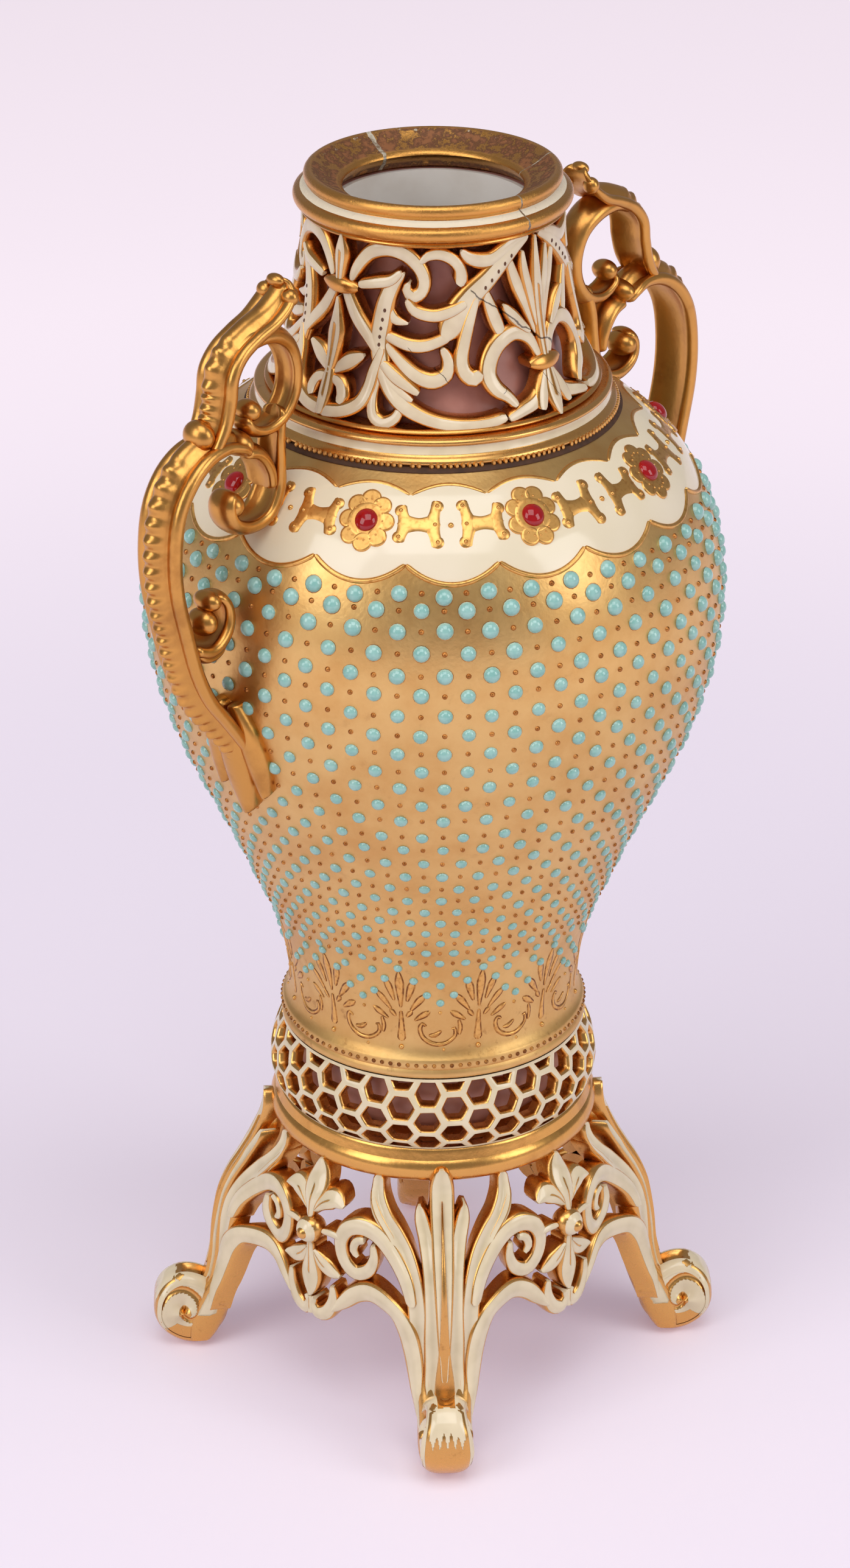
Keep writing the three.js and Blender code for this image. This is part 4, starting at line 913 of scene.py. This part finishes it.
foot_ring = [(25.6, 190.5)]
foot_ring += eased([(31.0, 190.5), (31.6, 190.8), (31.7, 191.3), (31.3, 191.8), (30.8, 192.1), (30.6, 192.3),
                    (30.55, 192.4), (30.2, 193.66), (30.25, 193.78)], 0.3)[:-1]
foot_ring += eased([(30.25, 193.78), (30.75, 194.1), (30.7, 194.6), (30.2, 194.95), (29.6, 195.0)], 0.2)
foot_ring += [(25.8, 195.0)]
piece("neck_foot_ring_gilded", spun(foot_ring, 200, ring_marks), stand_glaze, "gilt", ["neck_foot_ring"])
PEARLS = 190
pearl_row = blank()
random.seed(3)
for k in range(PEARLS):
    # A few of the beads have broken off
    if random.random() > 0.06:
        ball(pearl_row, polar(k * 360 / PEARLS, 31.7, 190.85), (0.46, 0.46, 0.56), steps=6)
piece("neck_foot_beading", pearl_row, paste_gold, "gilt")
soot = Finish("old_glue")
soot.surface(Base_Color=soot.mixed(soot.cloud(700, 4), tint(40, 24, 16), tint(92, 58, 36)), Roughness=0.8)
seam_line = eased([(30.6, 190.4), (31.6, 190.3), (32.5, 189.8), (32.6, 190.0), (32.0, 190.45), (30.6, 190.7)],
                  0.3)
piece("neck_seam", spun(seam_line, 160), soot, "gilt")


# The neck's inner wall is plain thrown porcelain, luted to the shoulder inside the collar: dusty
# pink outside, where it shows through the piercing, and a soft white inside the mouth.
LINER_LOW, LINER_HIGH, LINER_WALL, LINER_STEPS = 189.3, 226, 1.6, 24
liner_radius = smooth_radius([(LINER_LOW, 24.6), (195, 24.5), (200, 22.6), (208, 20.2), (214, 19.2),
                              (LINER_HIGH, 18.0)])


def liner_marks(radius, height):
    return 0.0 if radius < liner_radius(height) - LINER_WALL / 2 else 1.0


liner_heights = [LINER_LOW + (LINER_HIGH - LINER_LOW) * k / LINER_STEPS for k in range(LINER_STEPS + 1)]
liner = [(liner_radius(z), z) for z in liner_heights]
liner += [(liner_radius(z) - LINER_WALL, z) for z in reversed(liner_heights)]
wall_paint = Finish("pink_and_white_glaze")
mottle = wall_paint.cloud(90, 5)
pink_side = wall_paint.mixed(mottle.between(0.35, 0.7), tint(206, 146, 132), tint(170, 108, 94))
white_side = wall_paint.mixed(mottle.between(0.4, 0.75), tint(252, 247, 240), tint(240, 232, 222))
wall_colour = wall_paint.mixed(wall_paint.marked().between(0.4, 0.6), white_side, pink_side)
wall_paint.surface(Base_Color=wall_colour, Roughness=0.28 + mottle * 0.1)
piece("neck_liner_glazed", spun(liner, 120, liner_marks), wall_paint, "blush", ["neck_liner"])


# The pierced collar is the hardest piece: scrolls, leaves and palmettes cut from a wet porcelain
# wall three millimetres thick and modelled by hand. It mirrors about the handles and the two
# faces, and stands on the foot ring. Old cracks run through it.
collar_radius = smooth_radius([(195, 28.6), (200, 26.6), (204, 25.2), (208, 24.2), (214, 23.2),
                               (226.4, 22.0)])
collar_scrolls = [
    [(5.2, 218.4, 1.4), (6.9, 220.2, 2.2), (10.1, 222.2, 2.5), (14.9, 224, 2.7), (22.7, 224.8, 2.7),
     (30.7, 224, 2.7), (36.2, 222, 2.6), (38.4, 219.9, 2.5), (37.2, 217.9, 2.4), (33.4, 217.1, 2.3),
     (30.9, 218.3, 1.9), (32.2, 219.5, 1.2)],
    [(9.6, 218.2, 1.6), (18, 219, 2.1), (24.4, 219.7, 2), (29, 221.4, 1.4)],
    [(30.2, 221.2, 0.9), (25.6, 219.2, 2.6), (22.4, 216.2, 3.2), (20.8, 212.7, 3.5), (20, 209.4, 3.3),
     (21.2, 206.1, 3.0), (23.6, 203.7, 2.8), (27.5, 201.1, 2.7), (32.2, 199.2, 2.5), (39.4, 197.6, 2.2),
     (46.5, 196.7, 2.1), (54.4, 196.3, 2.0), (62.2, 196.4, 1.9), (68.6, 197, 1.6)],
    [(22.5, 215.6, 1.8), (26, 213.2, 2.0), (32.4, 212.6, 0.6)],
    [(21.9, 206, 1.6), (28, 203.8, 2.2), (37.2, 201.4, 1.2)],
    [(22.5, 204.6, 1.2), (27, 202.4, 1.8), (35, 200.2, 1.0)],
    [(36.4, 222.8, 1.2), (40, 224, 1.8), (45, 224.3, 2.1), (50.4, 223.4, 2.2), (53.6, 221.8, 2.3),
     (54, 219.9, 2.6), (52.6, 218.9, 1.8)],
    [(30.9, 216.8, 1.2), (34.5, 214.9, 2.0), (42.5, 214.1, 2.2), (49.7, 214.8, 2.1), (56, 216.1, 1.6)],
    [(23, 210.4, 1.8), (32.2, 209.1, 2.2), (39.4, 209.1, 2.2), (48.8, 210.6, 1.9)],
    [(22, 209.2, 1.4), (31.5, 205.4, 2.3), (37, 203.8, 2.5), (42.5, 203.3, 2.6), (47.3, 204.4, 2.4),
     (48, 206.6, 2.1), (45.5, 208.8, 1.4)],
    [(60.5, 216.9, 1.2), (57.4, 213.4, 2.0), (54.6, 209.6, 2.3), (53.2, 206.8, 2.4), (54.2, 204.6, 2.5),
     (57.6, 203.5, 2.6), (60.6, 204.6, 2.2)],
    [(86.9, 225.6, 1.6), (80, 224.2, 2.6), (73, 222.1, 3.1), (66.3, 219.7, 3.4), (59.1, 217.2, 4.0),
     (53.4, 214.4, 4.6), (49, 211.8, 4.2), (46.2, 209.9, 1.6)],
    [(63.5, 218.8, 1.0), (66.4, 215, 2.4), (69.6, 211.4, 2.6), (72.2, 208.8, 1.2)],
    [(72, 215, 1.0), (76.5, 212.6, 2.3), (84, 209.4, 1.2)],
    [(53.8, 225, 1.2), (57.4, 223.6, 2.2), (62, 222.9, 2.6), (67.9, 222.9, 2.5), (75.6, 224.4, 2.3),
     (83, 225.6, 1.6)],
    [(88.2, 208.6, 1.2), (84.4, 213.6, 2.2), (79.6, 218.2, 2.5), (75.6, 222.8, 1.6)],
    [(88.6, 209.6, 1.0), (86.4, 215, 1.9), (83.6, 220.2, 1.8), (82.8, 223.4, 0.9)],
    [(87.6, 204.8, 1.4), (83.6, 208.3, 2.3), (77, 209.8, 2.7), (70, 208.8, 2.9), (65.2, 206.4, 2.9),
     (63.7, 203.7, 2.8), (66.1, 201.4, 2.6), (70, 200, 2.0), (73.4, 198.2, 1.5)],
    [(90, 202.8, 1.8), (86.9, 200.2, 2.2), (82.1, 198.2, 2.3), (75, 197.2, 2.0), (69, 196.4, 1.4)],
    [(88.6, 203, 1.0), (85, 199.2, 2.2), (83, 196.6, 1.6)],
    [(2.4, 217.2, 2.0), (8.5, 213, 2.6), (15.6, 209.8, 2.4), (20.4, 207.2, 1.6)],
    [(0.6, 202.8, 1.2), (7.5, 205, 2.9), (14.4, 206.6, 1.2)],
    [(22, 208.5, 1.2), (19.2, 204.6, 2.0), (17.6, 201.4, 2.1), (14.9, 199, 2.2), (8.5, 197.3, 2.2),
     (0, 196.6, 2.2)],
    [(0.6, 202, 1.4), (5.4, 201.4, 2.0), (7.4, 199.6, 2.2), (6.4, 198.2, 1.6)],
    [(21.4, 204, 1.2), (19.6, 200.4, 1.6), (20.6, 197.4, 1.9), (24.6, 196.4, 2.0), (28.8, 197.4, 1.8),
     (30.6, 199.4, 1.2)],
]
axis_leaves = [
    [(0, 216.8, 1.6), (0, 220, 2.6), (0, 223, 3.4), (0, 226.2, 0.8)],
    [(0, 202.6, 1.6), (0, 206, 2.8), (0, 209.4, 3.8), (0, 212, 2.6), (0, 215.6, 0.7)],
    [(0, 204, 1.8), (0, 200, 2.6), (0, 196, 1.8)],
    [(90, 203.6, 1.6), (90, 210, 2.6), (90, 216, 3), (90, 221, 2.2), (90, 225.6, 0.8)],
    [(90, 204.4, 1.4), (90, 200, 3.4), (90, 197.4, 2.8), (90, 195.2, 1)],
]
dotted = {2: [(22.2, 214.6), (21.4, 213), (20.9, 211.5), (20.6, 210.1), (20.5, 208.8), (20.9, 207.4)],
          11: [(77, 222.9), (73.6, 221.8), (70.4, 220.7), (67.2, 219.4), (64.2, 218.3)]}
umber = Finish("umber_paint")
umber.surface(Base_Color=umber.mixed(umber.cloud(900), tint(74, 42, 22), tint(110, 66, 34)), Roughness=0.4)
collar_glaze = glazed("pierced_ivory_and_gold", tint(238, 220, 188), tint(196, 168, 132), tint(212, 152, 78),
                      tint(104, 60, 28))
collar_turn, collar_height = collar_glaze.turn(), collar_glaze.along("Z")
tremble = (collar_glaze.cloud(260, 4) - 0.5) * 3.2
cracked = collar_glaze.node("Value") * 0
# Each crack starts at an angle and a height, and runs on for some degrees
for turn, height, slope, length, width in ((-122.5, 218.4, -0.33, 50, 0.17), (-148, 208.6, -0.34, 20, 0.08),
                                           (-112, 200.6, 0.3, 14, 0.1), (-94, 203.2, -0.9, 8, 0.09)):
    along = collar_turn - turn
    aside = (collar_height / MM - height - along * slope + tremble).math("ABSOLUTE")
    line = (1 - aside.between(width * 0.5, width * 1.5)) * along.between(0, 0.5)
    cracked = cracked.math("MAXIMUM", line * (1 - along.between(length, length + 1)))
whole = Level(collar_glaze, collar_glaze.shader.inputs["Base Color"].links[0].from_socket)
collar_glaze.surface(Base_Color=collar_glaze.mixed(cracked * 0.85, whole, tint(58, 40, 30)))
ROUNDED = mirrored([(-0.92, 1, 1), (-1.0, 0.7, 1), (-1.0, 0.42, 1), (-0.96, 0.26, 1), (-0.88, 0.15, 1),
                    (-0.78, 0.08, 1), (-0.68, 0.035, 1), (-0.58, 0.01, 0.1), (-0.3, -0.03, 0.05),
                    (0, -0.045, 0)])
TIE = [(across, inward, 1) for across, inward, gilt in LEAF]
COLLAR_ARC = math.radians(24.5)
FULLER = 1.2
collar = blank()
specks = blank()


def collar_reach(turn, height):
    return collar_radius(height)


for start, sense in ((180, 1), (360, -1), (0, 1), (180, -1)):
    wall = wall_from(start, collar_reach, sense)
    for k, scroll in enumerate(collar_scrolls):
        fuller = [(turn, height, width * FULLER) for turn, height, width in scroll]
        lift = 0.22 * ((k * 2) % 3)
        stroke(collar, fuller, wall, COLLAR_ARC, depth=2.7, section=ROUNDED, lift=lift)
        for turn, height in dotted.get(k, ()):
            ball(specks, wall(turn, height, -lift), (0.3, 0.3, 0.4), steps=6)
for start in (0, 180):
    for leaf in axis_leaves:
        stroke(collar, leaf, wall_from(start, collar_reach), COLLAR_ARC, depth=2.9, section=ROUNDED,
               lift=0.7, vein=0.6)
    for centre, height, half in ((0, 217.4, 10), (90, 204, 8.5)):

        def tie_reach(turn, level, centre=centre, half=half):
            return collar_radius(level) + math.cos((turn - centre) / half * 1.4)

        tie = [(centre + half * side, height, width)
               for side, width in ((-1, 1.4), (-0.5, 2.5), (0, 2.9), (0.5, 2.5), (1, 1.4))]
        stroke(collar, tie, wall_from(start, tie_reach), COLLAR_ARC, depth=3.2, section=TIE)
for low, high in ((195.0, 195.9), (225.4, 226.4)):
    middle = (low + high) / 2
    base = collar_radius(middle)
    rail = eased([(base - 2.9, low), (base + 0.1, low), (base + 0.55, middle), (base + 0.1, high),
                  (base - 2.9, high)], 0.4)
    joined(collar, spun(rail, 160))
piece("neck_collar_glazed", collar, collar_glaze, "ivory", ["neck_collar"])
piece("collar_specks", specks, umber, "ivory")


# The rim is a heavy turned porcelain ring, luted to the collar's top rail: a worn seat for a lost
# cover, a gilt roll, an ivory hollow and a wider gilt roll. Its gilding is rubbed down to brown
# along the seat, and three old breaks are filled in white.
def rim_marks(radius, height):
    return 0.0 if 229.1 < height < 229.86 and radius > 21 else 1.0


rim = eased([(15.7, 228.3), (15.3, 229.0), (15.6, 229.5), (18.6, 231.0), (20.0, 231.9), (20.7, 232.3),
             (21.3, 232.2), (21.75, 231.7), (21.85, 231.0), (21.6, 230.3), (21.25, 229.95)], 0.35)
rim += eased([(21.3, 229.8), (21.8, 229.4), (22.6, 229.05)], 0.3)
rim += eased([(22.8, 229.0), (23.45, 228.6), (23.7, 227.8), (23.45, 227.0), (22.7, 226.5), (21.4, 226.4)],
             0.3)
rim += [(17.4, 226.4)]
rim_gold = Finish("rubbed_gold_and_ivory")
brushed = rim_gold.cloud(900, 3)
gilt_share = (rim_gold.marked() + (brushed - 0.5) * 0.4).between(0.44, 0.58)
rim_height = rim_gold.along("Z") / MM
rim_reach = rim_gold.reach() / MM
scuffs = rim_gold.cloud(420, 8, 0.75)
seat_share = (1 - rim_reach.between(20.2, 21.0)) * rim_reach.between(15.9, 16.5)
seat_share = seat_share * (scuffs * 1.3 + 0.3).between(0.8, 0.96)
seat_colour = rim_gold.mixed(scuffs.between(0.45, 0.6), tint(70, 36, 20), tint(148, 94, 54))
rim_colour = rim_gold.mixed(scuffs.between(0.62, 0.72) * 0.5, tint(214, 156, 82), tint(120, 74, 38))
rim_colour = rim_gold.mixed(seat_share, rim_colour, seat_colour)
rim_ivory = rim_gold.mixed(scuffs.between(0.6, 0.75) * 0.5, tint(240, 230, 206), tint(170, 150, 110))
rim_turn = rim_gold.turn()
mended = rim_gold.node("Value") * 0
for turn, half in ((74, 1.5), (-29.7, 0.5), (-96, 0.5)):
    off = (rim_turn - turn + (rim_gold.cloud(300, 4) - 0.5) * 6).math("ABSOLUTE")
    mended = mended.math("MAXIMUM", 1 - off.between(half * 0.8, half))
chipped = rim_gold.cloud(520, 5, 0.7).between(0.63, 0.66) * rim_gold.along("Y").between(0.0, 0.006)
chipped = chipped * rim_reach.between(19.2, 19.8) * (1 - rim_reach.between(20.9, 21.2))
mended = (mended * (1 - rim_height.between(232.5, 233.4))).math("MAXIMUM", chipped)
filler = rim_gold.mixed(scuffs.between(0.4, 0.6), tint(206, 196, 176), tint(120, 98, 74))
rim_gold.surface(Base_Color=rim_gold.mixed(mended, rim_gold.mixed(gilt_share, rim_ivory, rim_colour), filler),
                 Metallic=gilt_share * (1 - seat_share * 0.85) * (1 - mended),
                 Roughness=0.2 + seat_share * 0.3 + brushed * 0.12,
                 Normal=rim_gold.bump(scuffs, 0.00012))
piece("rim_gilded", spun(rim, 180, rim_marks), rim_gold, "worn_gold", ["rim_ring"])


# The handles are press-moulded porcelain straps, luted to the shoulder and the lower belly and
# gilded all over: a ribbed S-shaped limb with a leafy tail, a loop with a curled leaf above,
# and scrolls that end in small round curls.
LIMB = mirrored([(-0.96, 0.0), (-1.05, 0.12), (-1.07, 0.3), (-1.02, 0.44), (-0.9, 0.52), (-0.76, 0.53),
                 (-0.64, 0.48), (-0.54, 0.42), (-0.48, 0.5), (-0.42, 0.68), (-0.3, 0.86), (-0.15, 0.97),
                 (0, 1.0)])
LIMB += mirrored([(0.84, -0.04), (0.7, 0.0), (0.5, 0.1), (0.25, 0.15), (0, 0.16)])
ROLLED = mirrored([(-0.94, 0.05), (-1.04, 0.2), (-1.06, 0.38), (-1.0, 0.55), (-0.86, 0.7), (-0.64, 0.84),
                   (-0.34, 0.96), (0, 1.0)])
ROLLED += mirrored([(0.78, 0.0), (0.6, 0.06), (0.36, 0.18), (0, 0.24)])
FEATHER = mirrored([(-1, 1, 1), (-1, 0.55, 1), (-0.93, 0.34, 1), (-0.78, 0.18, 1), (-0.52, 0.07, 1),
                    (-0.25, 0.015, 1), (0, 0, 1)])


def strap(form, points, side, section=ROLLED, ribs=0.0, pitch=2.35, spacing=0.32, ribbed=1.0):
    """Lofts a rounded strap along places of (radius, height, half width, crown)."""
    line = eased(points, spacing)
    count = len(line) - 1

    def place(i, j):
        across, outward = section[i % len(section)]
        radius, height, half, crown = line[j]
        r0, z0 = line[max(j - 1, 0)][:2]
        r1, z1 = line[min(j + 1, count)][:2]
        reach = math.hypot(r1 - r0, z1 - z0)
        end = min(j, count - j) * spacing / 1.2
        share = math.sqrt(min(1, end) * (2 - min(1, end))) if end < 1 else 1
        wave = ribs * math.cos(math.tau * j * spacing / pitch) * max(0, 1 - (across / 0.5) ** 2)
        wave *= (outward > 0.3) * min(1, max(0, (ribbed * count - j) / 6))
        lift = (0.3 + (outward - 0.3) * share) * crown + wave * share
        out_r, out_z = (z1 - z0) / reach, -(r1 - r0) / reach
        spot = Vector((side * (radius + out_r * lift), across * half * share, height + out_z * lift))
        return spot * MM, 1.0

    bent(form, len(section), count, place)


handle_gold = Finish("satin_handle_gold")
handle_cloud = handle_gold.cloud(120, 5, 0.6)
handle_fine = handle_gold.cloud(1100, 3)
handle_colour = handle_gold.mixed(handle_cloud.between(0.5, 0.75) * 0.5, tint(208, 152, 80),
                                  tint(156, 102, 52))
handle_gold.surface(Base_Color=handle_colour, Metallic=1.0, Roughness=0.24 + handle_fine * 0.14,
                    Normal=handle_gold.bump(handle_fine, 0.00003))
# The straps, each as places of (radius, height, half width, crown)
limb = [(47.8, 139.5, 3.0, 2.4), (50, 143.6, 3.8, 3.2), (54.4, 150, 4.2, 3.9), (58.4, 155.4, 4.35, 4.1),
        (61, 161, 4.35, 4.1), (63, 168, 4.35, 4.1), (64.9, 176, 4.35, 4.1), (65.2, 183, 4.35, 4.1),
        (64, 189.5, 4.35, 4.2), (61.2, 193.8, 4.35, 4.3), (57.5, 196.4, 4.2, 4.1), (53.4, 197.2, 4.1, 3.5),
        (50.2, 196.4, 4.3, 2.8), (48.4, 194.8, 3.6, 2.2)]
loop = [(56, 196.5, 3.6, 3.0), (52.8, 201.5, 3.9, 3.6), (51.5, 205.8, 4.0, 3.8), (50.9, 209.5, 4.0, 3.8),
        (48.8, 212.2, 3.9, 3.7), (45.2, 214.2, 3.9, 3.5), (41.4, 215.8, 4.0, 3.2), (38.4, 218.2, 4.0, 2.6),
        (36.9, 220.6, 3.4, 2.0), (37.0, 222.2, 2.4, 1.6), (38.2, 223.2, 1.6, 1.2)]
rolls = [
    [(49.6, 211.6, 2.6, 2.6), (45, 213.2, 3.3, 3.1), (41, 212.6, 3.2, 3.1), (37.9, 210.2, 2.8, 3.0),
     (36.5, 206.4, 2.6, 2.9), (37, 202.6, 2.5, 2.9), (39.4, 199.6, 2.5, 2.8), (42.8, 198.6, 2.4, 2.4),
     (45.6, 199.6, 2.3, 2.0), (46.4, 201.4, 2.0, 1.6)],
    [(39.4, 201.0, 2.2, 2.2), (40.6, 196, 2.6, 2.6), (41.0, 191, 2.9, 2.8), (41.6, 187, 3.1, 3.2),
     (43.8, 183.9, 3.2, 3.2), (47.2, 183.2, 3.2, 3.0), (50.2, 184.4, 3.0, 2.6), (51.0, 186.8, 2.7, 2.2),
     (49.6, 188.6, 2.2, 1.6)],
    [(49.0, 194.6, 3.0, 2.4), (45.8, 193.6, 3.2, 2.6), (43.6, 190.6, 3.2, 2.6), (42.8, 187.0, 3.0, 2.0)],
    [(55.4, 171.8, 2.2, 1.6), (53.9, 169.4, 3.0, 2.4), (54.5, 166.4, 3.5, 3.0), (57.6, 164.2, 3.8, 3.0),
     (61.8, 165.4, 3.8, 2.4)],
    [(53.4, 164.2, 1.8, 1.4), (55.4, 162.4, 2.6, 1.8), (58.6, 162.6, 3.2, 2.0), (61.2, 164.8, 3.2, 2.0)],
]
TAIL_ARC = 0.84
tails = [(2.4, [(1.6, 151, 2.6), (3.8, 145, 4.6), (5.2, 139, 4.6), (5.8, 133.6, 2.2)]),
         (2.4, [(-1.6, 151, 2.6), (-3.8, 145, 4.6), (-5.2, 139, 4.6), (-5.8, 133.6, 2.2)]),
         (3.1, [(0, 149, 4.0), (0, 142, 5.8), (0, 135, 5.4), (0, 129.4, 2.6)])]
# The round ends of the scrolls: how far out, sideways and up, then their half sizes
curls = [((56.7, 0, 200.4), (2.3, 3.0, 2.7)), ((45.4, 0, 201.6), (1.9, 2.6, 1.9)),
         ((48.7, 0, 197.0), (2.1, 4.2, 2.2)), ((50.4, 0, 186.4), (2.3, 3.2, 2.3)),
         ((55.7, 0, 170.8), (1.8, 2.8, 1.8)), ((57.0, 0, 167.4), (2.2, 3.0, 2.4)),
         ((38.3, 0, 222.3), (1.1, 1.8, 1.1)), ((37.9, 2.8, 219.8), (1.3, 1.6, 1.5)),
         ((37.9, -2.8, 219.8), (1.3, 1.6, 1.5))]
for name, side in (("handle_right", 1), ("handle_left", -1)):
    form = blank()
    strap(form, limb, side, LIMB, ribs=0.42, pitch=2.5, ribbed=0.84)
    strap(form, loop, side, LIMB, ribs=0.34, pitch=2.1, ribbed=0.54)
    for curled in rolls:
        strap(form, curled, side)

    def tail_wall(turn, height, inset, start=0 if side == 1 else 180):
        return body_wall(start + turn, height, inset)

    for lift, tail in tails:
        stroke(form, tail, tail_wall, TAIL_ARC, depth=3.4, section=FEATHER, spacing=0.5, lift=lift)
    for (out, sway, up), size in curls:
        ball(form, Vector((side * out, sway, up)) * MM, size, steps=24)
    piece(f"{name}_gilded", form, handle_gold, "gilt", [name], crease=60)
